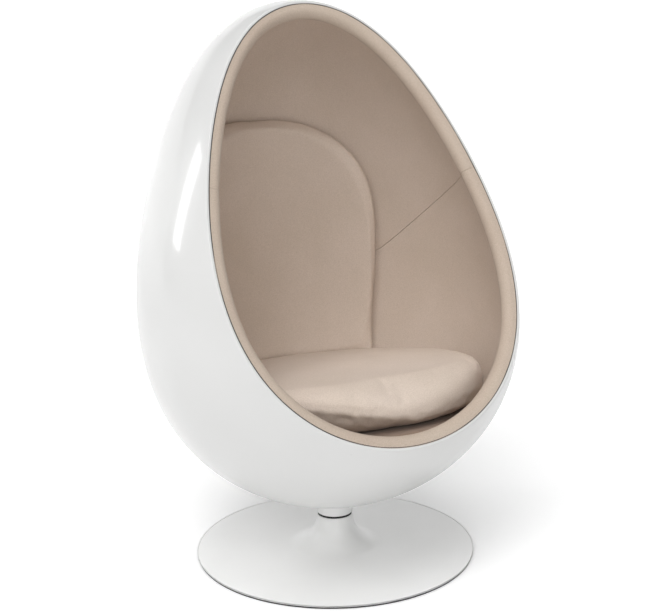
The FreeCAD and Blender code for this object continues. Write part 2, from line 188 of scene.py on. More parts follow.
def egg_reach(directions, inset):
    """Distance from the heart to the egg's surface at an inset, along unit directions."""
    angle = np.arccos(np.clip(directions @ EGG_AXIS, -1, 1))
    if np.isscalar(inset):
        return np.interp(angle, *egg_table(float(inset)))
    low, high = egg_table(0.0), egg_table(0.1)
    near, deep = np.interp(angle, *low), np.interp(angle, *high)
    return near + (deep - near) * np.asarray(inset) / 0.1


def unit(v):
    """Vectors of length 1 in the directions of these."""
    return v / np.linalg.norm(v, axis=-1, keepdims=True)


def outside_egg(points, inset):
    """Whether points lie outside the egg's surface at an inset."""
    return np.linalg.norm(points - HEART, axis=-1) > egg_reach(unit(points - HEART), inset)


def hold_inside(points, inset):
    """Points outside the egg's surface at an inset, brought back onto it."""
    directions = unit(points - HEART)
    distance = np.linalg.norm(points - HEART, axis=-1)
    return HEART + directions * np.minimum(distance, egg_reach(directions, inset))[..., None]


def depth_behind_opening(points):
    """Distance of points behind the plane of the opening."""
    return OPENING_OFFSET - points @ NORMAL


def back_directions(around, psi):
    """Unit directions at an angle psi from straight back, at angles round the opening's normal."""
    side = np.cos(around)[..., None] * ACROSS + np.sin(around)[..., None] * UPWARD
    return side * np.sin(psi)[..., None] - NORMAL * np.cos(psi)[..., None]


def rim_angle(around, inset, depth):
    """Angle from straight back at which a surface at an inset lies at a depth behind the opening plane."""
    low, high = np.full(around.shape, 0.6), np.full(around.shape, 3.0)
    for _ in range(44):
        psi = (low + high) / 2
        directions = back_directions(around, psi)
        points = HEART + directions * egg_reach(directions, inset)[..., None]
        beyond = depth_behind_opening(points) < depth
        high = np.where(beyond, psi, high)
        low = np.where(beyond, low, psi)
    return (low + high) / 2


def rim_points(around, inset, depth):
    """Points round the rim, at an inset from the egg and a depth behind the opening plane."""
    psi = rim_angle(around, inset, depth)
    directions = back_directions(around, psi)
    return HEART + directions * egg_reach(directions, inset)[..., None]


def wall_behind(x, z, inset):
    """Y of the egg's rear wall at an inset, at places seen from the front."""
    low, high = np.full(x.shape, HEART[1]), np.full(x.shape, 0.7)
    for _ in range(40):
        y = (low + high) / 2
        points = np.stack([x, y, z], -1)
        outside = outside_egg(points, inset)
        high = np.where(outside, y, high)
        low = np.where(outside, low, y)
    return (low + high) / 2


def wall_below(x, y, inset):
    """Height of the egg's underside at an inset."""
    low, high = np.full(x.shape, 0.0), np.full(x.shape, HEART[2])
    for _ in range(40):
        z = (low + high) / 2
        points = np.stack([x, y, z], -1)
        outside = outside_egg(points, inset)
        low = np.where(outside, z, low)
        high = np.where(outside, high, z)
    return (low + high) / 2


def seam_height(y):
    """Height of the side seam at each y: an arc through its three points, with straight ends."""
    (y1, z1), (y2, z2), (y3, z3) = SEAM
    d = 2 * (y1 * (z2 - z3) + y2 * (z3 - z1) + y3 * (z1 - z2))
    s1, s2, s3 = y1 * y1 + z1 * z1, y2 * y2 + z2 * z2, y3 * y3 + z3 * z3
    cy = (s1 * (z2 - z3) + s2 * (z3 - z1) + s3 * (z1 - z2)) / d
    cz = (s1 * (y3 - y2) + s2 * (y1 - y3) + s3 * (y2 - y1)) / d
    radius = math.hypot(y1 - cy, z1 - cz)
    sign = 1 if z1 > cz else -1
    inner = np.clip(y, y1, y3)
    height = cz + sign * np.sqrt(np.maximum(radius ** 2 - (inner - cy) ** 2, 0))
    height = height + np.minimum(y - y1, 0) * (z2 - z1) / (y2 - y1)
    return height + np.maximum(y - y3, 0) * (z3 - z2) / (y3 - y2)


def lining_seam_height(y):
    """Height of the seam in the lining, which rises a little to meet the seam in the roll."""
    return seam_height(y) + 0.0125 * np.exp(-(np.maximum(y + 0.085, 0) / 0.06) ** 2)


# Smooth random unevenness that is the same on every run

def lumps(points, size, seed):
    """Gentle unevenness between about -1 and 1, from a few fixed waves."""
    source = np.random.default_rng(seed)
    total = np.zeros(points.shape[:-1])
    for _ in range(10):
        direction = unit(source.normal(size=3))
        length = size * source.uniform(0.6, 1.7)
        total += np.sin(points @ direction * (2 * math.pi / length) + source.uniform(0, 2 * math.pi))
    return total / 4.5


# Mesh building

def new_object(name, mesh):
    """New object of a mesh, at the origin and in the scene."""
    piece = bpy.data.objects.new(name, mesh)
    bpy.context.scene.collection.objects.link(piece)
    return piece


def mesh_object(name, points, faces):
    """New object of these points and faces, shaded smooth."""
    mesh = bpy.data.meshes.new(name)
    mesh.from_pydata([tuple(p) for p in points], [], faces)
    mesh.validate()
    piece = new_object(name, mesh)
    shade_smooth(piece)
    return piece


def shade_smooth(piece):
    """Shades every face of a piece smooth."""
    for face in piece.data.polygons:
        face.use_smooth = True


def ring_faces(rings, count, closed_start=False, closed_end=False, loop=False):
    """Faces between rings of points that close on themselves, with a middle point at either end if asked."""
    faces = []
    for i in range(rings - 1 + int(loop)):
        a, b = i * count, ((i + 1) % rings) * count
        for j in range(count):
            k = (j + 1) % count
            faces.append((a + j, a + k, b + k, b + j))
    first, last = rings * count, rings * count + int(closed_start)
    if closed_start:
        faces += [(first, (j + 1) % count, j) for j in range(count)]
    if closed_end:
        base = (rings - 1) * count
        faces += [(last, base + j, base + (j + 1) % count) for j in range(count)]
    return faces


def ringed(name, rings, start=None, end=None, loop=False):
    """Piece from rings of points, closed by a start and an end point, with its faces outwards."""
    count = len(rings[0])
    points = [p for ring in rings for p in ring]
    points += [p for p in (start, end) if p is not None]
    faces = ring_faces(len(rings), count, start is not None, end is not None, loop)
    piece = mesh_object(name, points, faces)
    face_outwards(piece)
    return piece


def face_outwards(piece):
    """Turns the faces of a closed piece outwards."""
    bm = bmesh.new()
    bm.from_mesh(piece.data)
    bmesh.ops.recalc_face_normals(bm, faces=bm.faces)
    if bm.calc_volume(signed=True) < 0:
        bmesh.ops.reverse_faces(bm, faces=bm.faces)
    bm.to_mesh(piece.data)
    bm.free()


def mesh_points(piece):
    """The piece's points as rows of an array."""
    points = np.empty(len(piece.data.vertices) * 3)
    piece.data.vertices.foreach_get("co", points)
    return points.reshape(-1, 3)


def set_mesh_points(piece, points):
    """Moves the piece's points to these places."""
    piece.data.vertices.foreach_set("co", points.ravel())
    piece.data.update()


def apply_modifiers(piece):
    """Turns a piece with its modifiers into a plain mesh."""
    depsgraph = bpy.context.evaluated_depsgraph_get()
    mesh = bpy.data.meshes.new_from_object(piece.evaluated_get(depsgraph))
    piece.modifiers.clear()
    piece.data = mesh


def turned(name, outline, segments):
    """Piece turned about the swivel axis from (radius, height) points.

    Its ends close at the axis or, if the outline doesn't start there, on each other.
    """
    angle = np.linspace(0, 2 * math.pi, segments, endpoint=False)
    circle = np.stack([np.cos(angle), np.sin(angle), np.zeros(segments)], -1)
    rings = []
    start = end = None
    points = list(outline)
    if points[0][0] == 0:
        start = (0, 0, points.pop(0)[1])
    if points[-1][0] == 0:
        end = (0, 0, points.pop()[1])
    for radius, height in points:
        rings.append(circle * radius + np.array([0, 0, height]))
    return ringed(name, rings, start, end, loop=start is None)


def finish_piece(piece, body, material, nodes):
    """Gives a piece its material, its body and the frame nodes it stands for."""
    piece.data.materials.clear()
    piece.data.materials.append(material)
    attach(piece, body)
    if nodes:
        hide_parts(*nodes)
    return piece


# Materials

def linear(hex_colour):
    """Linear colour from an sRGB hex colour."""
    channels = []
    for i in (1, 3, 5):
        value = int(hex_colour[i:i + 2], 16) / 255
        channels.append(value / 12.92 if value <= 0.04045 else ((value + 0.055) / 1.055) ** 2.4)
    return (*channels, 1.0)


def scale_of(millimetres):
    """Texture scale that gives a pattern this size, in object coordinates of one metre."""
    return 1000.0 / millimetres


def add_node(tree, kind, output, settings=None, **inputs):
    """Named output of a new node with these settings and inputs; an input given as a socket is linked."""
    node = tree.nodes.new(kind)
    for name, value in (settings or {}).items():
        setattr(node, name, value)
    for name, value in inputs.items():
        socket = node.inputs[name.replace("_", " ")]
        if isinstance(value, bpy.types.NodeSocket):
            tree.links.new(value, socket)
        else:
            socket.default_value = value
    return node.outputs[output]


def new_material(name, **inputs):
    """Material whose Principled shader has these input values, with its node tree and object coordinates."""
    material = bpy.data.materials.new(name)
    material.use_nodes = True
    tree = material.node_tree
    for key, value in inputs.items():
        tree.nodes["Principled BSDF"].inputs[key.replace("_", " ")].default_value = value
    return material, tree, add_node(tree, "ShaderNodeTexCoord", "Object")


def drive(tree, node, **sockets):
    """Links sockets to the named node's inputs."""
    for name, socket in sockets.items():
        tree.links.new(socket, tree.nodes[node].inputs[name.replace("_", " ")])


def two_tone(tree, value, first, second, low=0.35, high=0.65):
    """Colour that goes from one sRGB hex colour to another as the value goes from low to high."""
    share = add_node(tree, "ShaderNodeMapRange", "Result", Value=value, From_Min=low, From_Max=high)
    return add_node(tree, "ShaderNodeMixRGB", "Color", Fac=share, Color1=linear(first), Color2=linear(second))


@lru_cache(maxsize=None)
def gel_coat(colour):
    """White gel coat on glass-reinforced plastic, which the eye reads as a deep, slightly wavy gloss."""
    material, tree, place = new_material("gel_coat", Roughness=0.3, Specular_IOR_Level=0.25,
                                         Coat_Weight=0.45, Coat_Roughness=0.08)
    # The casting's tone wanders a little over a third of a metre
    cast = add_node(tree, "ShaderNodeTexNoise", "Fac", Vector=place, Scale=scale_of(333))
    tone = two_tone(tree, cast, colour, "#D4D4D3")
    # Polishing leaves patches of gloss about 33 mm wide
    polish = add_node(tree, "ShaderNodeTexNoise", "Fac", Vector=place, Scale=scale_of(33))
    rough = add_node(tree, "ShaderNodeMapRange", "Result", Value=polish, To_Min=0.25, To_Max=0.35)
    # Waves of the mould, 111 mm long, bend the edges of the reflections
    wave = add_node(tree, "ShaderNodeTexNoise", "Fac", Vector=place, Scale=scale_of(111), Detail=1.0)
    relief = add_node(tree, "ShaderNodeBump", "Normal", Height=wave, Strength=0.25, Distance=0.0015)
    drive(tree, "Principled BSDF", Base_Color=tone, Roughness=rough, Normal=relief)
    return material


@lru_cache(maxsize=None)
def powder_coat(colour):
    """White powder coat on spun steel, which the eye reads as satin with a fine orange peel."""
    material, tree, place = new_material("powder_coat", Roughness=0.32, Coat_Weight=0.15, Coat_Roughness=0.2)
    cloud = add_node(tree, "ShaderNodeTexNoise", "Fac", Vector=place, Scale=scale_of(250))
    tone = two_tone(tree, cloud, colour, "#EEEEED")
    # Real orange peel is 1 to 2 mm; 2.4 mm is the finest that shows
    peel = add_node(tree, "ShaderNodeTexNoise", "Fac", Vector=place, Scale=scale_of(2.4), Detail=1.0)
    relief = add_node(tree, "ShaderNodeBump", "Normal", Height=peel, Strength=0.12, Distance=0.0002)
    drive(tree, "Principled BSDF", Base_Color=tone, Normal=relief)
    return material


@lru_cache(maxsize=None)
def upholstery(colour, shade):
    """Beige brushed wool cloth over foam, which the eye reads as matt, softly mottled and a little furry."""
    material, tree, place = new_material("wool_cloth", Roughness=0.92, Sheen_Weight=0.12, Sheen_Roughness=0.5)
    # Wear and handling shade the cloth in clouds of about 143 mm
    cloud = add_node(tree, "ShaderNodeTexNoise", "Fac", Vector=place, Scale=scale_of(143), Detail=3.0)
    tone = two_tone(tree, cloud, shade, colour, 0.25, 0.75)
    # Real tufts of the nap are about 0.3 mm, so they are drawn 2.4 mm wide to show at all
    tuft = add_node(tree, "ShaderNodeTexNoise", "Fac", Vector=place, Scale=scale_of(2.4), Detail=4.0,
                    Roughness=0.65)
    fleck = two_tone(tree, tuft, "#E9E7E4", "#FFFFFF", 0.3, 0.7)
    mottled = add_node(tree, "ShaderNodeMixRGB", "Color", {"blend_type": "MULTIPLY"}, Fac=1.0, Color1=tone,
                       Color2=fleck)
    soft = add_node(tree, "ShaderNodeBump", "Normal", Height=tuft, Strength=0.35, Distance=0.0006)
    # Single fibres, 0.67 mm apart, for views close to the cloth
    fibre = add_node(tree, "ShaderNodeTexNoise", "Fac", Vector=place, Scale=scale_of(0.67), Detail=3.0,
                     Roughness=0.7)
    furry = add_node(tree, "ShaderNodeBump", "Normal", Height=fibre, Strength=0.3, Distance=0.0003,
                     Normal=soft)
    drive(tree, "Principled BSDF", Base_Color=mottled, Normal=furry)
    return material


@lru_cache(maxsize=None)
def dark_rubber(name, colour, shade):
    """Moulded or extruded rubber, which the eye reads as dull and finely pitted."""
    material, tree, place = new_material(name, Roughness=0.6)
    cloud = add_node(tree, "ShaderNodeTexNoise", "Fac", Vector=place, Scale=scale_of(17))
    tone = two_tone(tree, cloud, colour, shade)
    # Pits 1.1 mm apart
    pits = add_node(tree, "ShaderNodeTexNoise", "Fac", Vector=place, Scale=scale_of(1.1))
    relief = add_node(tree, "ShaderNodeBump", "Normal", Height=pits, Strength=0.2, Distance=0.0002)
    drive(tree, "Principled BSDF", Base_Color=tone, Normal=relief)
    return material


@lru_cache(maxsize=None)
def brushed_metal(name, colour, shade, rough=0.35):
    """Turned, ground or plated metal, which the eye reads by the streaks in its shine."""
    material, tree, place = new_material(name, Metallic=1.0, Roughness=rough)
    # Tool marks run round the piece: 33 mm long and 1.1 mm apart up its height
    marks_scale = (scale_of(33), scale_of(33), scale_of(1.1))
    along = add_node(tree, "ShaderNodeMapping", "Vector", Vector=place, Scale=marks_scale)
    marks = add_node(tree, "ShaderNodeTexNoise", "Fac", Vector=along, Scale=1.0, Detail=3.0)
    tone = two_tone(tree, marks, colour, shade)
    gloss = add_node(tree, "ShaderNodeMapRange", "Result", Value=marks, To_Min=rough - 0.08,
                     To_Max=rough + 0.12)
    relief = add_node(tree, "ShaderNodeBump", "Normal", Height=marks, Strength=0.15, Distance=0.0001)
    drive(tree, "Principled BSDF", Base_Color=tone, Roughness=gloss, Normal=relief)
    return material


@lru_cache(maxsize=None)
def cast_metal():
    """Sand-cast iron of the ballast plate, which the eye reads as dark and grainy."""
    material, tree, place = new_material("cast_iron", Metallic=0.8, Roughness=0.7)
    cloud = add_node(tree, "ShaderNodeTexNoise", "Fac", Vector=place, Scale=scale_of(25), Detail=5.0)
    tone = two_tone(tree, cloud, "#2C2D2F", "#434446")
    # Sand grains leave bumps about 2.9 mm apart
    sand = add_node(tree, "ShaderNodeTexNoise", "Fac", Vector=place, Scale=scale_of(2.9), Detail=4.0)
    relief = add_node(tree, "ShaderNodeBump", "Normal", Height=sand, Strength=0.5, Distance=0.0006)
    drive(tree, "Principled BSDF", Base_Color=tone, Normal=relief)
    return material


@lru_cache(maxsize=None)
def plain_plastic(name, colour, shade):
    """Moulded plastic or cast resin, which the eye reads as satin and slightly uneven in tone."""
    material, tree, place = new_material(name, Roughness=0.5)
    cloud = add_node(tree, "ShaderNodeTexNoise", "Fac", Vector=place, Scale=scale_of(40), Detail=3.0)
    tone = two_tone(tree, cloud, colour, shade)
    # The mould's texture, 2 mm apart
    grain = add_node(tree, "ShaderNodeTexNoise", "Fac", Vector=place, Scale=scale_of(2))
    relief = add_node(tree, "ShaderNodeBump", "Normal", Height=grain, Strength=0.15, Distance=0.0002)
    drive(tree, "Principled BSDF", Base_Color=tone, Normal=relief)
    return material


@lru_cache(maxsize=None)
def plywood():
    """Birch plywood, which the eye reads by its long grain across the board."""
    material, tree, place = new_material("birch_plywood", Roughness=0.6)
    # Grain lines 167 mm long and 11 mm apart
    grain_scale = (scale_of(167), scale_of(11), scale_of(11))
    along = add_node(tree, "ShaderNodeMapping", "Vector", Vector=place, Scale=grain_scale)
    grain = add_node(tree, "ShaderNodeTexNoise", "Fac", Vector=along, Scale=1.0, Detail=4.0, Roughness=0.6)
    tone = two_tone(tree, grain, "#B58F63", "#D2B48A")
    relief = add_node(tree, "ShaderNodeBump", "Normal", Height=grain, Strength=0.2, Distance=0.0003)
    drive(tree, "Principled BSDF", Base_Color=tone, Normal=relief)
    return material


@lru_cache(maxsize=None)
def seat_foam():
    """Cut polyurethane foam, which the eye reads as pale and full of open cells."""
    material, tree, place = new_material("seat_foam", Roughness=0.95)
    cloud = add_node(tree, "ShaderNodeTexNoise", "Fac", Vector=place, Scale=scale_of(83))
    tone = two_tone(tree, cloud, "#D9CFA8", "#E6DDBC")
    # Cells 1.1 mm across
    cells = add_node(tree, "ShaderNodeTexVoronoi", "Distance", Vector=place, Scale=scale_of(1.1))
    relief = add_node(tree, "ShaderNodeBump", "Normal", Height=cells, Strength=0.6, Distance=0.0006)
    drive(tree, "Principled BSDF", Base_Color=tone, Normal=relief)
    return material


# Shell and rim

def egg_ring(around, psi, inset):
    """Ring of points on the egg's surface at an inset, at angles psi from straight back."""
    directions = back_directions(around, psi)
    return HEART + directions * egg_reach(directions, inset)[:, None]


def back_point(inset):
    """Point straight back from the heart, on the egg's surface at an inset."""
    return egg_ring(np.zeros(1), np.zeros(1), inset)[0]


def shell_piece(name, material):
    """Moulded shell: outer side, rounded lip at the opening and inner side."""
    around = np.linspace(0, 2 * math.pi, 288, endpoint=False)
    edge = []
    for k in range(5):
        a = k / 4 * math.pi / 2
        edge.append((SHELL_LIP * (1 - math.cos(a)), SHELL_LIP * (1 - math.sin(a))))
    for k in range(5):
        a = k / 4 * math.pi / 2
        edge.append((SHELL_WALL - SHELL_LIP * (1 - math.sin(a)), SHELL_LIP * (1 - math.cos(a))))
    # Each side stops a little behind the lip, whose own rings follow
    side_depth = SHELL_LIP + 0.002
    outer_end = rim_angle(around, 0.0, side_depth)
    inner_end = rim_angle(around, SHELL_WALL, side_depth)
    steps = np.linspace(0, 1, 110)[1:]
    rings = [egg_ring(around, outer_end * s, 0.0) for s in steps]
    rings += [rim_points(around, inset, depth) for inset, depth in edge]
    rings += [egg_ring(around, inner_end * s, SHELL_WALL) for s in steps[::-2]]
    piece = ringed(name, rings, back_point(0.0), back_point(SHELL_WALL))
    return finish_piece(piece, "pod", material, ["outer_shell"])


def sweep_tree(material):
    """Node tree that sweeps a round section along a closed path, and its inputs' identifiers."""
    tree = bpy.data.node_groups.new("sweep_round", "GeometryNodeTree")
    keys = {}
    for name, kind in (("Geometry", "Geometry"), ("Radius", "Float"), ("Sides", "Int")):
        socket = tree.interface.new_socket(name, in_out="INPUT", socket_type="NodeSocket" + kind)
        keys[name] = socket.identifier
    tree.interface.new_socket("Geometry", in_out="OUTPUT", socket_type="NodeSocketGeometry")
    given = tree.nodes.new("NodeGroupInput").outputs
    path = add_node(tree, "GeometryNodeMeshToCurve", "Curve", Mesh=given["Geometry"])
    circle = add_node(tree, "GeometryNodeCurvePrimitiveCircle", "Curve", Radius=given["Radius"],
                      Resolution=given["Sides"])
    swept = add_node(tree, "GeometryNodeCurveToMesh", "Mesh", Curve=path, Profile_Curve=circle)
    smooth = add_node(tree, "GeometryNodeSetShadeSmooth", "Geometry", Geometry=swept)
    real = add_node(tree, "GeometryNodeRealizeInstances", "Geometry", Geometry=smooth)
    painted = add_node(tree, "GeometryNodeSetMaterial", "Geometry", Geometry=real, Material=material)
    tree.links.new(painted, tree.nodes.new("NodeGroupOutput").inputs["Geometry"])
    return tree, keys


def bead_piece(name, radius, material):
    """Dark bead in the corner between the shell's lip and the roll."""
    count = 360
    points = rim_points(np.linspace(0, 2 * math.pi, count, endpoint=False), BEAD_INSET, BEAD_DEPTH)
    mesh = bpy.data.meshes.new(name)
    mesh.from_pydata([tuple(p) for p in points], [(i, (i + 1) % count) for i in range(count)], [])
    piece = new_object(name, mesh)
    modifier = piece.modifiers.new("sweep", "NODES")
    modifier.node_group, keys = sweep_tree(material)
    modifier[keys["Radius"]] = radius
    modifier[keys["Sides"]] = 14
    apply_modifiers(piece)
    face_outwards(piece)
    return finish_piece(piece, "pod", material, ["rim_bead"])


# Padding

def roll_frame(around, inset, depth):
    """Middle of the roll and the direction out of it across the opening, at angles round the rim."""
    middle = rim_points(around, inset, depth)
    step = 1e-3
    along = unit(rim_points(around + step, inset, depth) - rim_points(around - step, inset, depth))
    return middle, np.cross(along, NORMAL)


def seam_angle(inset, depth):
    """Angle round the rim at which the roll crosses the side seam, on the right."""
    around = np.linspace(-1.2, 1.5, 2000)
    points = rim_points(around, inset, depth)
    above = points[:, 2] - seam_height(points[:, 1])
    return float(np.interp(0, above, around))


def roll_section(turn):
    """Shape of the roll's section, as shares of its radius: round, but filling the corner beside the bead."""
    corner = 0.41
    middle = (1 - corner) * (np.cos(turn) + np.sin(turn))
    arc = middle + np.sqrt(np.maximum(middle ** 2 - 2 * (1 - corner) ** 2 + corner ** 2, 0))
    flat = 1 / np.maximum(np.maximum(np.cos(turn), np.sin(turn)), 0.5)
    on_flat = np.minimum(np.abs(np.tan(turn)), 1 / np.maximum(np.abs(np.tan(turn)), 1e-9)) < 1 - corner
    in_corner = (np.cos(turn) > 1e-9) & (np.sin(turn) > 1e-9)
    return np.where(in_corner, np.where(on_flat, flat, arc), 1.0)


def roll_piece(name, radius, upper, material, nodes):
    """Foam roll in cloth round part of the opening, tucked in at its ends."""
    inset = SHELL_WALL + SOFT_GAP + radius
    depth = radius + SOFT_GAP
    crossing = seam_angle(inset, depth)
    first, last = (crossing, math.pi - crossing) if upper else (math.pi - crossing, 2 * math.pi + crossing)
    around = np.linspace(first, last, 420 if upper else 440)
    middle, out = roll_frame(around, inset, depth)
    length = np.r_[0, np.cumsum(np.linalg.norm(np.diff(middle, axis=0), axis=1))]
    to_end = np.minimum(length, length[-1] - length)
    # The section draws in over the last few millimetres, as cloth does at a sewn end
    draw = np.sqrt(np.clip(1 - (1 - np.clip(to_end / 0.0030, 0, 1)) ** 2, 0, 1))
    reach = radius * (0.955 + 0.045 * draw)
    reach -= 0.0004 * np.exp(-(to_end / 0.018) ** 2)
    turn = np.linspace(0, 2 * math.pi, 64, endpoint=False)
    ring = out[:, None, :] * np.cos(turn)[None, :, None] + NORMAL * np.sin(turn)[None, :, None]
    surface = middle[:, None, :] + ring * radius
    uneven = lumps(surface, 0.11, 5) * 0.00045 + lumps(surface, 0.035, 9) * 0.00012
    # The side that faces the sitter is free; the rest lies against the shell
    free = np.clip(-np.cos(turn) * 0.6 + np.sin(turn) * 0.8, 0, 1)[None, :]
    # Small gathers, 11 mm apart, fade in towards each end
    gathers = np.cos(length * 2 * math.pi / 0.011)[:, None] * np.exp(-(to_end / 0.016) ** 2)[:, None]
    amount = reach[:, None] * roll_section(turn) + (uneven - 0.0006) * free + gathers * free * 0.0004
    rings = hold_inside(middle[:, None, :] + ring * amount[..., None], SHELL_WALL + SOFT_GAP)
    # The cloth is pressed in where it meets the bead
    from_bead = rings - rim_points(around, BEAD_INSET, BEAD_DEPTH)[:, None, :]
    distance = np.linalg.norm(from_bead, axis=-1, keepdims=True)
    rings += from_bead / distance * np.maximum(0.0016 - distance, 0)
    piece = ringed(name, list(rings), middle[0], middle[-1])
    return finish_piece(piece, "pod", material, nodes)


# The lining's front edge, which rolls over and tucks in behind the roll, as (inset, depth behind the opening)
LINING_EDGE = ((0.0270, 0.085), (0.0272, 0.074), (0.0278, 0.065), (0.0288, 0.057), (0.0302, 0.0505),
               (0.0320, 0.0452), (0.0341, 0.0413), (0.0356, 0.0394), (0.0362, 0.0384), (0.0355, 0.0378),
               (0.0320, 0.0375), (0.0260, 0.0368), (0.0200, 0.0355))
# Distances from the side seam at which the lining has a row of points, so that its fold is smooth
SEAM_ROWS = (0.0002, 0.0008, 0.0016, 0.0026, 0.0040, 0.0058, 0.0080, 0.012, 0.020, 0.032, 0.048)


def lining_surface(name):
    """Visible side of the whole lining, from the middle of the back to its tucked front edge."""
    around = np.linspace(0, 2 * math.pi, 300, endpoint=False)
    end = rim_angle(around, LINING_INNER, LINING_EDGE[0][1])
    rings = [egg_ring(around, end * s, LINING_INNER) for s in np.linspace(0, 1, 84)[1:]]
    rings += [rim_points(around, inset, depth) for inset, depth in LINING_EDGE[1:]]
    points = [p for ring in rings for p in ring] + [back_point(LINING_INNER)]
    return mesh_object(name, points, ring_faces(len(rings), len(around), True))


def in_pocket(face):
    """Whether a face of the bowl, levelled along the seam, lies over the hole round the clamp plate."""
    x, y, z = face.calc_center_median()
    return math.hypot(x, y) < 0.084 and z < -0.3


def cut_at_seam(piece, upper):
    """Keeps the lining above or below the seam, with rows of points beside it and a hole for the clamp plate.

    The lining is cut while its seam is levelled to height 0, and stays so.
    """
    points = mesh_points(piece)
    points[:, 2] -= lining_seam_height(points[:, 1])
    set_mesh_points(piece, points)
    side = 1 if upper else -1
    bm = bmesh.new()
    bm.from_mesh(piece.data)
    for row in SEAM_ROWS:
        geometry = bm.verts[:] + bm.edges[:] + bm.faces[:]
        first = row == SEAM_ROWS[0]
        bmesh.ops.bisect_plane(bm, geom=geometry, dist=1e-6, plane_co=(0, 0, side * row),
                               plane_no=(0, 0, 1), clear_outer=first and not upper,
                               clear_inner=first and upper)
    if not upper:
        bmesh.ops.delete(bm, geom=[face for face in bm.faces if in_pocket(face)], context="FACES")
    bmesh.ops.remove_doubles(bm, verts=bm.verts, dist=2e-5)
    bm.to_mesh(piece.data)
    bm.free()


def lining_relief(points, off_seam):
    """How far the lining's cloth lies outwards: turned in at the seam, gathered beside it, and uneven."""
    turned_in = 0.0021 * (1 - np.sqrt(np.clip(1 - np.clip(1 - off_seam / 0.0030, 0, 1) ** 2, 0, 1)))
    turned_in += 0.0016 * np.exp(-(off_seam / 0.016) ** 2)
    along = points[:, 1] * 1.3 - points[:, 0] * 0.2
    gathers = 0.00035 * np.cos(along * 2 * math.pi / 0.016) * np.exp(-(off_seam / 0.012) ** 2)
    uneven = lumps(points, 0.16, 21) * 0.0007 + lumps(points, 0.05, 22) * 0.00015
    return turned_in + gathers + uneven


def lining_piece(name, upper, material, nodes):
    """Upholstered lining above or below the side seam, with its cloth turned in at the seam."""
    piece = lining_surface(name)
    cut_at_seam(piece, upper)
    points = mesh_points(piece)
    off_seam = np.abs(points[:, 2])
    points[:, 2] += lining_seam_height(points[:, 1])
    distance = np.linalg.norm(points - HEART, axis=1) + lining_relief(points, off_seam)
    set_mesh_points(piece, HEART + unit(points - HEART) * distance[:, None])
    face_to_heart(piece)
    solid = piece.modifiers.new("thickness", "SOLIDIFY")
    solid.thickness = LINING_THICKNESS
    solid.offset = -1
    apply_modifiers(piece)
    shade_smooth(piece)
    return finish_piece(piece, "pod", material, nodes)


def face_to_heart(piece):
    """Turns the faces of an open lining towards the inside of the egg."""
    bm = bmesh.new()
    bm.from_mesh(piece.data)
    bmesh.ops.recalc_face_normals(bm, faces=bm.faces)
    heart = Vector(HEART)
    towards = sum((heart - face.calc_center_median()).normalized().dot(face.normal) * face.calc_area()
                  for face in bm.faces)
    if towards < 0:
        bmesh.ops.reverse_faces(bm, faces=bm.faces)
    bm.to_mesh(piece.data)
    bm.free()


def plane_reach(level, angle):
    """Where a seat plane at a level meets the lined egg or the roll's room, at angles round the plane.

    Gives the plane's middle, the direction at each angle and the distance along it.
    """
    lean = math.radians(SEAT_LEAN)
    middle = np.array([0, -0.02, level + math.tan(lean) * 0.02])
    side = np.stack([np.cos(angle), np.sin(angle) * math.cos(lean), -np.sin(angle) * math.sin(lean)], -1)
    low, high = np.zeros(angle.shape), np.full(angle.shape, 0.6)
    for _ in range(40):
        reach = (low + high) / 2
        points = middle + side * reach[:, None]
        outside = outside_egg(points, SOFT_INSET) | (depth_behind_opening(points) < ROLL_ROOM)
        high = np.where(outside, reach, high)
        low = np.where(outside, low, reach)
    return middle, side, (low + high) / 2


def deck_piece(name, material):
    """Thin padded deck under the seat cushion, with rounded edges."""
    angle = np.linspace(0, 2 * math.pi, 200, endpoint=False)
    radius = DECK_THICKNESS / 2
    rings = []
    for k in range(9):
        a = math.pi * (k / 8 - 0.5)
        level = DECK_HEIGHT - radius - math.sin(a) * radius
        middle, side, reach = plane_reach(level, angle)
        rings.append(middle + side * (reach - radius * 0.8 * (1 - math.cos(a)))[:, None])
    for k in (0.8, 0.5, 0.2):
        rings.append(rings[8] * k + middle * (1 - k))
    top_middle = plane_reach(DECK_HEIGHT, angle)[0]
    top = [rings[0] * k + top_middle * (1 - k) for k in (0.2, 0.5, 0.8)]
    piece = ringed(name, top + rings, top_middle, middle)
    return finish_piece(piece, "pod", material, ["deck_pad"])


def block_piece(name, material):
    """Foam block that fills the bottom of the egg under the board, with a pocket for the fixings."""
    count = 160
    angle = np.linspace(0, 2 * math.pi, count, endpoint=False)
    middle, side, reach = plane_reach(BLOCK_HEIGHT - 0.0005, angle)
    rings = [middle + side * (reach * k)[:, None] for k in (0.3, 0.65, 0.985)]
    rings.append(middle + side * reach[:, None] - np.array([0, 0, 0.002]))
    circle = np.stack([np.cos(angle), np.sin(angle)], -1)
    for k in (0.97, 0.92, 0.84, 0.74, 0.62, 0.50, 0.38):
        place = middle + side * (reach * k)[:, None]
        height = wall_below(place[:, 0], place[:, 1], SOFT_INSET)
        height = np.minimum(height, rings[3][:, 2] - (1 - k) * 0.02)
        rings.append(np.stack([place[:, 0], place[:, 1], height], -1))
    mouth = circle * POCKET_RADIUS
    for height in (wall_below(mouth[:, 0], mouth[:, 1], SOFT_INSET), np.full(count, POCKET_HEIGHT)):
        rings.append(np.stack([mouth[:, 0], mouth[:, 1], height], -1))
    piece = ringed(name, rings, middle, (0, 0, POCKET_HEIGHT))
    return finish_piece(piece, "pod", material, ["seat_block"])


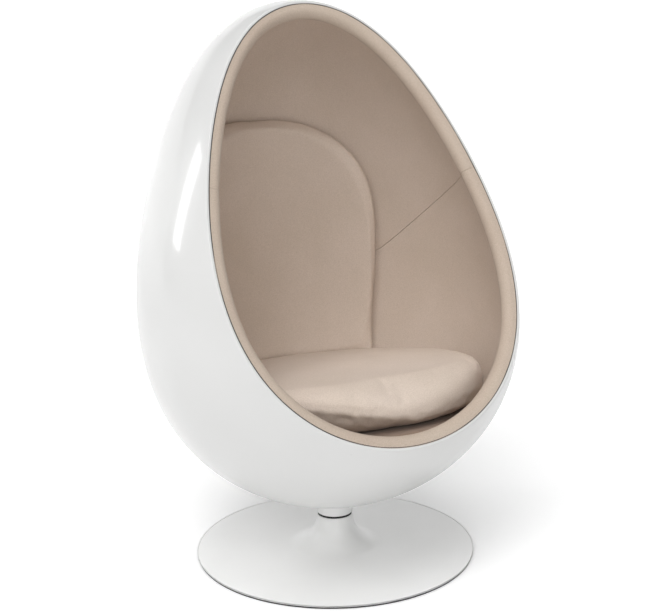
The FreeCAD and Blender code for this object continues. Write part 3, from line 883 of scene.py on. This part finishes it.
def swell(piece, pressure, cap, voxel, frames):
    """Inflates a closed piece as cloth, then holds every point within cap of where it was."""
    remesh = piece.modifiers.new("remesh", "REMESH")
    remesh.mode = "VOXEL"
    remesh.voxel_size = voxel
    remesh.use_smooth_shade = True
    apply_modifiers(piece)
    before = mesh_points(piece)
    cloth = piece.modifiers.new("cloth", "CLOTH")
    settings = cloth.settings
    settings.use_pressure = True
    settings.uniform_pressure_force = pressure
    settings.effector_weights.gravity = 0
    settings.mass = 0.3
    settings.tension_stiffness = 30
    settings.compression_stiffness = 30
    settings.bending_stiffness = 2.0
    cloth.point_cache.frame_start = 1
    cloth.point_cache.frame_end = frames
    for number in range(1, frames + 1):
        bpy.context.scene.frame_set(number)
    apply_modifiers(piece)
    bpy.context.scene.frame_set(1)
    move = mesh_points(piece) - before
    length = np.linalg.norm(move, axis=1, keepdims=True)
    set_mesh_points(piece, before + move * np.minimum(1, cap / np.maximum(length, 1e-9)))


def soften(piece, steps):
    """Evens out a mesh and gives it one subdivision."""
    smooth = piece.modifiers.new("smooth", "SMOOTH")
    smooth.iterations = steps
    smooth.factor = 0.5
    fine = piece.modifiers.new("fine", "SUBSURF")
    fine.levels = fine.render_levels = 1
    apply_modifiers(piece)
    shade_smooth(piece)


# Levels of the seat cushion, each as a share of the way up and how far the outline draws in there
UNDERSIDE = ((0.0, 0.066), (0.12, 0.050), (0.35, 0.036), (0.65, 0.025), (0.86, 0.014), (0.96, 0.005),
             (1.0, 0.0))
SIDE = ((0.12, -0.0015), (0.35, -0.003), (0.65, -0.003), (0.88, -0.001), (1.0, 0.0))
# Its crown: how far inside the shoulder, and how far above it
CROWN = ((0.03, 0.0012), (0.07, 0.0028), (0.12, 0.0042), (0.18, 0.0054), (0.25, 0.0062))


def seat_outline(angle, draw_in):
    """Seat cushion's outline in the seat's plane: round, with a flatter front and rounded corners."""
    direction = np.stack([np.cos(angle), np.sin(angle)], -1)
    circle = SEAT_RADIUS - draw_in
    # The front is an arc of a large circle; the two are joined by a soft minimum, which rounds the corners
    big = SEAT_FRONT_RADIUS - draw_in
    centre = np.array([0, SEAT_FRONT_RADIUS - SEAT_FRONT])
    along = direction @ centre
    flat = along + np.sqrt(np.maximum(big ** 2 - centre @ centre + along ** 2, 1e-9))
    joined = (circle ** -SEAT_CORNER + flat ** -SEAT_CORNER) ** (-1 / SEAT_CORNER)
    return direction * joined[:, None] - np.array([0, SEAT_SETBACK])


def fold_level(x, y):
    """Level of the cushion's lower fold: low along the front, and lifted towards the left."""
    left = (np.sqrt((x - 0.045) ** 2 + 0.02 ** 2) - (x - 0.045)) / 2
    right = (np.sqrt((x - 0.080) ** 2 + 0.02 ** 2) + (x - 0.080)) / 2
    front = np.clip((-0.10 - y) / 0.14, 0, 1)
    wavy = 0.0009 * np.sin(x * 2 * math.pi / 0.071 + 1.0) + 0.0006 * np.sin(x * 2 * math.pi / 0.047)
    return 0.3490 + (0.225 * left + 0.05 * right + wavy) * front


def seat_cushion_rings():
    """Rings of the seat cushion, from the middle of its underside up over the fold and side to its crown."""
    angle = np.linspace(0, 2 * math.pi, 280, endpoint=False)
    frontness = np.clip(-np.sin(angle), 0, 1) ** 3
    # The top edge is rounder and wider at the front, where the cushion shows
    edge = 0.017 + 0.085 * frontness
    fold_place = seat_outline(angle, 0.0)
    fold = fold_level(fold_place[:, 0], fold_place[:, 1])
    fall_off = np.minimum(0.017 + 0.058 * frontness, CUSHION_TOP - fold - 0.014)
    shoulder = CUSHION_TOP - fall_off
    rings = [(draw_in, CUSHION_BOTTOM + 0 * fold) for draw_in in (0.22, 0.15, 0.11)]
    rings += [(draw_in, CUSHION_BOTTOM + (fold - CUSHION_BOTTOM) * share) for share, draw_in in UNDERSIDE]
    rings += [(draw_in, fold + (shoulder - fold) * share) for share, draw_in in SIDE]
    for k in range(1, 11):
        a = math.pi / 2 * k / 10
        rings.append((edge * (1 - math.cos(a)), shoulder + fall_off * math.sin(a)))
    rings += [(edge + inward, CUSHION_TOP + rise + 0 * fold) for inward, rise in CROWN]
    fall = math.tan(math.radians(CUSHION_LEAN))
    placed = []
    for draw_in, level in rings:
        flat = seat_outline(angle, draw_in)
        placed.append(np.stack([flat[:, 0], flat[:, 1], level - fall * flat[:, 1]], -1))
    return placed


def seat_cushion_piece(name, material):
    """Thick loose seat cushion: crowned, soft along its top edge, folded under at the front."""
    rings = seat_cushion_rings()
    start, end = rings[0].mean(axis=0), rings[-1].mean(axis=0) + np.array([0, 0, 0.0005])
    piece = ringed(name, rings, start, end)
    swell(piece, 2.5, 0.006, 0.0050, 18)
    points = hold_inside(mesh_points(piece), SOFT_INSET + 0.0005)
    # It rests flat on the deck, whose height is measured down the seat's lean to the swivel axis
    level = points[:, 2] + math.tan(math.radians(SEAT_LEAN)) * points[:, 1]
    points[:, 2] += np.maximum(DECK_HEIGHT + 0.0006 - level, 0)
    # The back cushion presses into the top along its foot
    pressing = back_front(points[:, 0], np.full(len(points), 0.430))
    under_back = np.clip((points[:, 1] - pressing - 0.001) / 0.006, 0, 1)
    under_back *= np.clip((0.272 - np.abs(points[:, 0])) / 0.010, 0, 1)
    points[:, 2] -= under_back * np.maximum(points[:, 2] - (BACK_FOOT - 0.001), 0)
    points[:, 2] += lumps(points, 0.22, 31) * 0.0010
    set_mesh_points(piece, points)
    soften(piece, 4)
    pucker_fold(piece)
    return finish_piece(piece, "pod", material, ["seat_cushion"])


def pucker_fold(piece):
    """Short gathers of the cloth under the front fold of the seat cushion."""
    points = mesh_points(piece)
    x, y = points[:, 0], points[:, 1]
    level = points[:, 2] + math.tan(math.radians(CUSHION_LEAN)) * y
    below = fold_level(x, y) - 0.004 - level
    band = np.exp(-(below / 0.011) ** 2) * np.clip((-0.20 - y) / 0.05, 0, 1)
    wave = np.cos(x * 2 * math.pi / 0.0190 + 2.6 * np.sin(x * 27.0)) * (0.6 + 0.4 * np.sin(x * 53.0))
    points[:, 1] += 0.0008 * wave * band
    set_mesh_points(piece, points)


# Rings of the back cushion: how far each lies from its outline, as a share of the way to the middle
BACK_RINGS = (0.0, 0.0012, 0.005, 0.011, 0.020, 0.032, 0.048, 0.07, 0.10, 0.15, 0.22, 0.32, 0.45, 0.6, 0.78,
              0.92)


def back_front(x, z):
    """Y of the back cushion's front face, at places seen from the front."""
    return wall_behind(x, z, BACK_INSET) - BACK_FORWARD


def back_outline(count):
    """Arch of the back cushion seen from the front, as (x, z), evenly spaced."""
    # The arch is a superellipse, a little fuller at its shoulders than an ellipse
    power = 2 / 2.69
    a = np.linspace(0, math.pi, 400)
    arch = np.stack([BACK_HALF * np.sign(np.cos(a)) * np.abs(np.cos(a)) ** power,
                     BACK_SPRING + BACK_RISE * np.sin(a) ** power], -1)
    s = np.linspace(0, 1, 60)[1:]
    left = np.stack([BACK_DRAW_IN * s ** 1.6 - BACK_HALF,
                     BACK_SPRING - (BACK_SPRING - BACK_FOOT - BACK_CORNER) * s], -1)
    corner = np.linspace(0, math.pi / 2, 24)[1:]
    low_left = np.stack([BACK_DRAW_IN - BACK_HALF + BACK_CORNER * (1 - np.cos(corner)),
                         BACK_FOOT + BACK_CORNER * (1 - np.sin(corner))], -1)
    right = left[::-1] * np.array([-1, 1])
    low_right = low_left[::-1] * np.array([-1, 1])
    loop = np.concatenate([arch, left, low_left, low_right, right[:-1]])
    closed = np.concatenate([loop, loop[:1]])
    length = np.r_[0, np.cumsum(np.linalg.norm(np.diff(closed, axis=0), axis=1))]
    even = np.linspace(0, length[-1], count, endpoint=False)
    return np.stack([np.interp(even, length, closed[:, 0]), np.interp(even, length, closed[:, 1])], -1)


def back_cushion_piece(name, material):
    """Arched back cushion that lies on the lining: flat-faced, with a rounded edge all round."""
    outline = back_outline(320)
    middle = np.array([0, 0.660])
    rings_front = []
    rings_back = []
    for share in 1 - np.array(BACK_RINGS):
        flat = middle + (outline - middle) * share
        x, z = flat[:, 0], flat[:, 1]
        from_edge = np.linalg.norm(outline - flat, axis=1)
        round_off = np.sqrt(np.clip(1 - (1 - np.clip(from_edge / BACK_EDGE, 0, 1)) ** 2, 0, 1))
        lining = wall_behind(x, z, LINING_INNER + 0.0012)
        crown = 0.006 * np.clip(1 - np.abs(share) ** 2, 0, 1)
        thickness = (lining - back_front(x, z)) * (0.10 + 0.90 * round_off)
        rings_front.append(np.stack([x, lining - thickness - crown, z], -1))
        rings_back.append(np.stack([x, lining, z], -1))
    rings = rings_back[:0:-1] + rings_front
    piece = ringed(name, rings, rings[0].mean(axis=0), rings[-1].mean(axis=0))
    swell(piece, 2.0, 0.004, 0.0055, 16)
    points = hold_inside(mesh_points(piece), LINING_INNER + 0.0004)
    points[:, 1] += lumps(points, 0.2, 41) * 0.0011
    set_mesh_points(piece, points)
    soften(piece, 5)
    return finish_piece(piece, "pod", material, ["back_cushion"])


# Base

def rounded(corners, radius, steps=4):
    """Outline with its corners rounded, apart from its ends and any corner that has a 0 after its place."""
    result = []
    for i, corner in enumerate(corners):
        here = np.array(corner[:2])
        if len(corner) > 2 or i in (0, len(corners) - 1):
            result.append(tuple(here))
            continue
        before = unit(np.array(corners[i - 1][:2]) - here) * radius
        after = unit(np.array(corners[i + 1][:2]) - here) * radius
        for k in range(steps + 1):
            s = k / steps
            result.append(tuple(here + before * (1 - s) ** 2 + after * s ** 2))
    return result


def cover_outline(inset):
    """Base cover's outline from its neck down the flare and out to its rim."""
    flare = FLARE_RADIUS + inset
    middle = (NECK_RADIUS + FLARE_RADIUS, NECK_HEIGHT)
    slope = math.atan2(COVER_RISE - PAD_THICKNESS - RIM_DROP, BASE_RADIUS - middle[0])
    points = []
    for k in range(41):
        a = (math.pi / 2 - slope) * k / 40
        points.append((middle[0] - flare * math.cos(a), middle[1] - flare * math.sin(a)))
    foot = points[-1]
    edge = BASE_RADIUS - inset
    points += [(foot[0] + (edge - foot[0]) * s, foot[1] - (edge - foot[0]) * s * math.tan(slope))
               for s in (0.2, 0.4, 0.6, 0.8, 0.93)]
    points.append((edge, foot[1] - (edge - foot[0]) * math.tan(slope)))
    points.append((edge, PAD_THICKNESS))
    return points


def cover_piece(name, material):
    """Spun steel cover of the base, with a soft edge at its rim."""
    outer = cover_outline(0.0)
    rim = outer[-2]
    edge = rounded([outer[-3], rim, (outer[-1][0], outer[-1][1] + 0.0001), outer[-1]], 0.0019, 6)
    inner = cover_outline(COVER_WALL)[::-1]
    piece = turned(name, outer[:-3] + edge + inner, 256)
    return finish_piece(piece, "base", material, ["base_cover"])


def floor_pad_piece(name, material):
    """Rubber pad under the base, set slightly in."""
    radius = BASE_RADIUS - PAD_INSET
    outline = rounded([(0, 0), (radius, 0), (radius, PAD_THICKNESS), (0, PAD_THICKNESS)], 0.0012)
    piece = turned(name, outline, 256)
    return finish_piece(piece, "base", material, ["floor_pad"])


def hub_piece(name, material):
    """Painted hub between the base and the shell, whose top fits the shell's underside."""
    angle = np.linspace(0, 2 * math.pi, 128, endpoint=False)
    circle = np.stack([np.cos(angle), np.sin(angle), np.zeros(128)], -1)
    # Its underside is hollowed a little inside a narrow rim
    outline = rounded([(HUB_BORE, HUB_HOLLOW), (HUB_RIM, HUB_HOLLOW, 0), (HUB_RIM, HUB_BOTTOM),
                       (HUB_RADIUS, HUB_BOTTOM), (HUB_RADIUS, HUB_STRAIGHT)], 0.0007)
    rings = [circle * radius + np.array([0, 0, height]) for radius, height in outline]
    for radius, share in ((HUB_RADIUS, 0.5), (HUB_RADIUS, 1.0), (0.030, 1.0), (HUB_BORE, 1.0)):
        ring = circle * radius
        top = wall_below(ring[:, 0], ring[:, 1], 0.0) - 0.0001
        ring[:, 2] = HUB_STRAIGHT + (top - HUB_STRAIGHT) * share
        rings.append(ring)
    piece = ringed(name, rings, loop=True)
    return finish_piece(piece, "pod", material, ["swivel_hub"])


def paint_frame_nodes():
    """Materials of the frame's own nodes that stay: fixings, bearing and board."""
    steel = brushed_metal("turned_steel", "#9A9B9D", "#B4B5B7")
    zinc = brushed_metal("zinc_plate", "#A9AAA4", "#C2C3BC", 0.4)
    brass = brushed_metal("turned_brass", "#A98442", "#C9A35C")
    polished = brushed_metal("polished_steel", "#C9CACC", "#DADBDD", 0.12)
    black = plain_plastic("black_plastic", "#151515", "#1E1E1D")
    materials = {
        "neck_ring": black, "ballast_plate": cast_metal(), "post": steel, "post_screws": zinc,
        "lower_bush": brass, "upper_bush": brass, "lower_race": steel, "upper_race": steel,
        "ball_cage": plain_plastic("cage_plastic", "#8C7F63", "#A2967A"), "bearing_balls": polished,
        "spindle": steel, "spindle_washer": zinc, "retaining_ring": steel, "hub_bolts": zinc,
        "bolt_washers": zinc, "clamp_plate": dark_rubber("black_paint", "#1A1A1A", "#2A2826"),
        "mounting_pad": plain_plastic("cast_resin", "#5C5850", "#6E6A61"), "seat_board": plywood(),
    }
    for name, material in materials.items():
        node = bpy.data.objects[name]
        node.data.materials.clear()
        node.data.materials.append(material)


# Stage

def floor_material(colour):
    """Seamless backdrop paper, a little brighter to the camera and in gloss than the light it sends on."""
    material, tree, place = new_material("backdrop_paper", Roughness=0.9, Specular_IOR_Level=0.2,
                                         Emission_Color=WHITE)
    # The paper's fibres cloud it every 3.3 mm
    fibres = add_node(tree, "ShaderNodeTexNoise", "Fac", Vector=place, Scale=scale_of(3.3))
    tone = two_tone(tree, fibres, colour, "#FDFDFD")
    to_camera = add_node(tree, "ShaderNodeLightPath", "Is Camera Ray")
    to_gloss = add_node(tree, "ShaderNodeLightPath", "Is Glossy Ray")
    seen = add_node(tree, "ShaderNodeMapRange", "Result", Value=to_camera, To_Max=FLOOR_GLOW)
    glow = add_node(tree, "ShaderNodeMapRange", "Result", Value=to_gloss, To_Min=seen, To_Max=FLOOR_GLOW)
    drive(tree, "Principled BSDF", Base_Color=tone, Emission_Strength=glow)
    return material


def horizontal(azimuth):
    """Unit vectors towards an azimuth in degrees round from the front, and to the right of a camera there."""
    a = math.radians(azimuth)
    return Vector((math.sin(a), -math.cos(a), 0)), Vector((math.cos(a), math.sin(a), 0))


def towards(azimuth, elevation):
    """Unit vector towards an azimuth and an elevation, in degrees."""
    e = math.radians(elevation)
    return horizontal(azimuth)[0] * math.cos(e) + Vector((0, 0, math.sin(e)))


def add_lamp(name, kind, power, direction, place=(0, 0, 0)):
    """Lamp at a place that shines along a direction; the lamp's own settings are set by the caller."""
    light = bpy.data.lights.new(name, kind)
    light.energy = power
    lamp = bpy.data.objects.new(name, light)
    lamp.location = place
    lamp.rotation_euler = Vector(direction).to_track_quat("-Z", "Y").to_euler()
    bpy.context.scene.collection.objects.link(lamp)
    return light


def add_lights(settings):
    """Broad, even lights far away, and a tall soft box that makes the pale streak in the shell's gloss."""
    for name, azimuth, elevation, spread in SUNS:
        sun = add_lamp(name, "SUN", getattr(settings, name), -towards(azimuth, elevation))
        sun.angle = math.radians(spread)
    aim = Vector(WINDOW_TARGET) - Vector(WINDOW_PLACE)
    window = add_lamp("window", "AREA", WINDOW_POWER, aim, WINDOW_PLACE)
    window.shape = "RECTANGLE"
    window.size = WINDOW_WIDTH
    window.size_y = WINDOW_HEIGHT


def add_surroundings(brightness):
    """Even surroundings of this brightness, which the camera itself sees as plain white."""
    world = bpy.data.worlds.new("surroundings")
    world.use_nodes = True
    tree = world.node_tree
    tree.nodes["Background"].inputs["Color"].default_value = WHITE
    to_camera = add_node(tree, "ShaderNodeLightPath", "Is Camera Ray")
    strength = add_node(tree, "ShaderNodeMapRange", "Result", Value=to_camera, To_Min=brightness, To_Max=1.0)
    drive(tree, "Background", Strength=strength)
    bpy.context.scene.world = world


def add_camera():
    """Camera where the photograph was taken from."""
    back = towards(CAMERA_AZIMUTH, CAMERA_ELEVATION)
    right = horizontal(CAMERA_AZIMUTH)[1]
    up = back.cross(right)
    roll = math.radians(CAMERA_ROLL)
    turned_right = right * math.cos(roll) + up * math.sin(roll)
    turned_up = up * math.cos(roll) - right * math.sin(roll)
    data = bpy.data.cameras.new("camera")
    data.sensor_width = CAMERA_SENSOR
    data.lens = CAMERA_LENS
    data.clip_start, data.clip_end = 0.05, 60
    camera = bpy.data.objects.new("camera", data)
    camera.matrix_world = Matrix((turned_right, turned_up, back)).transposed().to_4x4()
    camera.location = right * CAMERA_AIM_ACROSS + Vector((0, 0, CAMERA_AIM_HEIGHT)) + back * CAMERA_DISTANCE
    bpy.context.scene.collection.objects.link(camera)
    bpy.context.scene.camera = camera


def add_floor(colour):
    """Pale floor that sweeps up into a backdrop far behind the chair."""
    profile = [(-FLOOR_REACH, 0.0), (BACKDROP_DISTANCE, 0.0)]
    for k in range(1, 13):
        a = math.pi / 2 * k / 12
        profile.append((BACKDROP_DISTANCE + BACKDROP_BEND * math.sin(a), BACKDROP_BEND * (1 - math.cos(a))))
    profile.append((BACKDROP_DISTANCE + BACKDROP_BEND, BACKDROP_HEIGHT))
    to_camera, side = horizontal(CAMERA_AZIMUTH)
    corners = []
    for run, height in profile:
        middle = Vector((0, 0, height)) - to_camera * run
        corners += [middle - side * FLOOR_REACH, middle + side * FLOOR_REACH]
    faces = [(2 * k, 2 * k + 1, 2 * k + 3, 2 * k + 2) for k in range(len(profile) - 1)]
    floor = mesh_object("studio_floor", corners, faces)
    floor.data.materials.append(floor_material(colour))


# Settings that a user would change

class EggChairShell(bpy.types.PropertyGroup):
    colour: bpy.props.StringProperty(
        name="Shell colour", description="sRGB hex colour of the gel coat", default="#D8D8D7")
    bead_radius: bpy.props.FloatProperty(
        name="Bead radius", description="Radius of the dark bead at the rim",
        default=0.0014, min=0.0005, max=0.003, unit="LENGTH")


class EggChairPadding(bpy.types.PropertyGroup):
    colour: bpy.props.StringProperty(
        name="Cloth colour", description="sRGB hex colour of the cloth's light parts", default="#DDCEC2")
    shade: bpy.props.StringProperty(
        name="Cloth shade", description="sRGB hex colour of the cloth's darker parts", default="#D6C7B9")
    # The roll's two colours are the lining cloth's colours darkened: painted shade, so the roll reads no
    # brighter than the lining inside
    roll_shaded_colour: bpy.props.StringProperty(
        name="Roll colour", description="sRGB hex colour of the roll's cloth", default="#C8B9AA")
    roll_shaded_dark: bpy.props.StringProperty(
        name="Roll shade", description="sRGB hex colour of the roll's darker parts", default="#C1B0A1")
    roll_radius: bpy.props.FloatProperty(
        name="Roll radius", description="Radius of the roll round the opening",
        default=0.0185, min=0.015, max=0.0185, unit="LENGTH")


class EggChairBase(bpy.types.PropertyGroup):
    colour: bpy.props.StringProperty(
        name="Base colour", description="sRGB hex colour of the base's powder coat", default="#F2F2F1")


class EggChairStage(bpy.types.PropertyGroup):
    floor: bpy.props.StringProperty(
        name="Floor colour", description="sRGB hex colour of the backdrop", default="#FBFBFB")
    key: bpy.props.FloatProperty(
        name="Key light", description="Strength of the main light from the left",
        default=0.8, min=0.0, max=20.0)
    front: bpy.props.FloatProperty(
        name="Front light", description="Strength of the light from the front",
        default=0.9, min=0.0, max=20.0)
    overhead: bpy.props.FloatProperty(
        name="Overhead light", description="Strength of the light from above",
        default=1.15, min=0.0, max=20.0)
    low_left: bpy.props.FloatProperty(
        name="Low light", description="Strength of the low light from the left",
        default=0.3, min=0.0, max=20.0)
    ambient: bpy.props.FloatProperty(
        name="Ambient", description="Brightness of the white surroundings",
        default=0.18, min=0.0, max=3.0)


class EGGCHAIR_OT_shell(bpy.types.Operator):
    """Build the shell and the dark bead at its rim"""
    bl_idname = "eggchair.shell"
    bl_label = "Shell and bead"

    def execute(self, context):
        settings = context.scene.egg_chair_shell
        shell_piece("shell_moulding", gel_coat(settings.colour))
        bead_piece("rim_line", settings.bead_radius, dark_rubber("bead_rubber", "#575350", "#4A4744"))
        return {"FINISHED"}


class EGGCHAIR_OT_padding(bpy.types.Operator):
    """Build the roll round the opening, the linings, the deck and the foam block"""
    bl_idname = "eggchair.padding"
    bl_label = "Rolls and linings"

    def execute(self, context):
        settings = context.scene.egg_chair_padding
        cloth = upholstery(settings.colour, settings.shade)
        # The rolls get a darker copy of the lining's cloth: painted shade
        shaded_roll_cloth = upholstery(settings.roll_shaded_colour, settings.roll_shaded_dark)
        roll_piece("roll_over", settings.roll_radius, True, shaded_roll_cloth, ["upper_roll"])
        roll_piece("roll_under", settings.roll_radius, False, shaded_roll_cloth, ["lower_roll"])
        lining_piece("hood_panel", True, cloth, ["hood_lining"])
        lining_piece("bowl_panel", False, cloth, ["bowl_lining"])
        # The deck's cloth is a darker brown than the lining: painted shade for the gap under the seat
        # cushion's front
        deck_piece("deck_cover", upholstery("#947F6F", "#8A7566"))
        block_piece("foam_block", seat_foam())
        return {"FINISHED"}


class EGGCHAIR_OT_cushions(bpy.types.Operator):
    """Build the loose seat cushion and the back cushion"""
    bl_idname = "eggchair.cushions"
    bl_label = "Cushions"

    def execute(self, context):
        settings = context.scene.egg_chair_padding
        cloth = upholstery(settings.colour, settings.shade)
        seat_cushion_piece("cushion_seat", cloth)
        back_cushion_piece("cushion_back", cloth)
        return {"FINISHED"}


class EGGCHAIR_OT_base(bpy.types.Operator):
    """Build the base cover, its floor pad and the hub, and paint the fixings"""
    bl_idname = "eggchair.base"
    bl_label = "Base and fixings"

    def execute(self, context):
        coat = powder_coat(context.scene.egg_chair_base.colour)
        cover_piece("base_dome", coat)
        floor_pad_piece("base_foot", dark_rubber("foot_rubber", "#1B1A1A", "#2A2826"))
        hub_piece("hub_collar", coat)
        paint_frame_nodes()
        return {"FINISHED"}


class EGGCHAIR_OT_stage(bpy.types.Operator):
    """Build the floor, the lights and the camera"""
    bl_idname = "eggchair.stage"
    bl_label = "Stage"

    def execute(self, context):
        settings = context.scene.egg_chair_stage
        add_floor(settings.floor)
        add_lights(settings)
        add_surroundings(settings.ambient)
        context.scene.view_settings.view_transform = "Standard"
        add_camera()
        return {"FINISHED"}


class EGGCHAIR_PT_panel(bpy.types.Panel):
    bl_label = "Egg chair"
    bl_idname = "EGGCHAIR_PT_panel"
    bl_space_type = "VIEW_3D"
    bl_region_type = "UI"
    bl_category = "Egg chair"

    def draw(self, context):
        layout = self.layout
        for group, operator in STEPS:
            box = layout.box()
            if group:
                settings = getattr(context.scene, group)
                for name in settings.__annotations__:
                    box.prop(settings, name)
            box.operator(operator)


STEPS = (
    ("egg_chair_shell", "eggchair.shell"),
    ("egg_chair_padding", "eggchair.padding"),
    (None, "eggchair.cushions"),
    ("egg_chair_base", "eggchair.base"),
    ("egg_chair_stage", "eggchair.stage"),
)
GROUPS = {
    "egg_chair_shell": EggChairShell,
    "egg_chair_padding": EggChairPadding,
    "egg_chair_base": EggChairBase,
    "egg_chair_stage": EggChairStage,
}
OPERATORS = (EGGCHAIR_OT_shell, EGGCHAIR_OT_padding, EGGCHAIR_OT_cushions, EGGCHAIR_OT_base,
             EGGCHAIR_OT_stage)


def register():
    for name, group in GROUPS.items():
        bpy.utils.register_class(group)
        setattr(bpy.types.Scene, name, bpy.props.PointerProperty(type=group))
    for operator in OPERATORS:
        bpy.utils.register_class(operator)
    bpy.utils.register_class(EGGCHAIR_PT_panel)


def unregister():
    bpy.utils.unregister_class(EGGCHAIR_PT_panel)
    for operator in reversed(OPERATORS):
        bpy.utils.unregister_class(operator)
    for name, group in GROUPS.items():
        delattr(bpy.types.Scene, name)
        bpy.utils.unregister_class(group)


def main():
    register()
    bpy.ops.eggchair.shell()
    bpy.ops.eggchair.padding()
    bpy.ops.eggchair.cushions()
    bpy.ops.eggchair.base()
    bpy.ops.eggchair.stage()


if __name__ == "__main__":
    main()
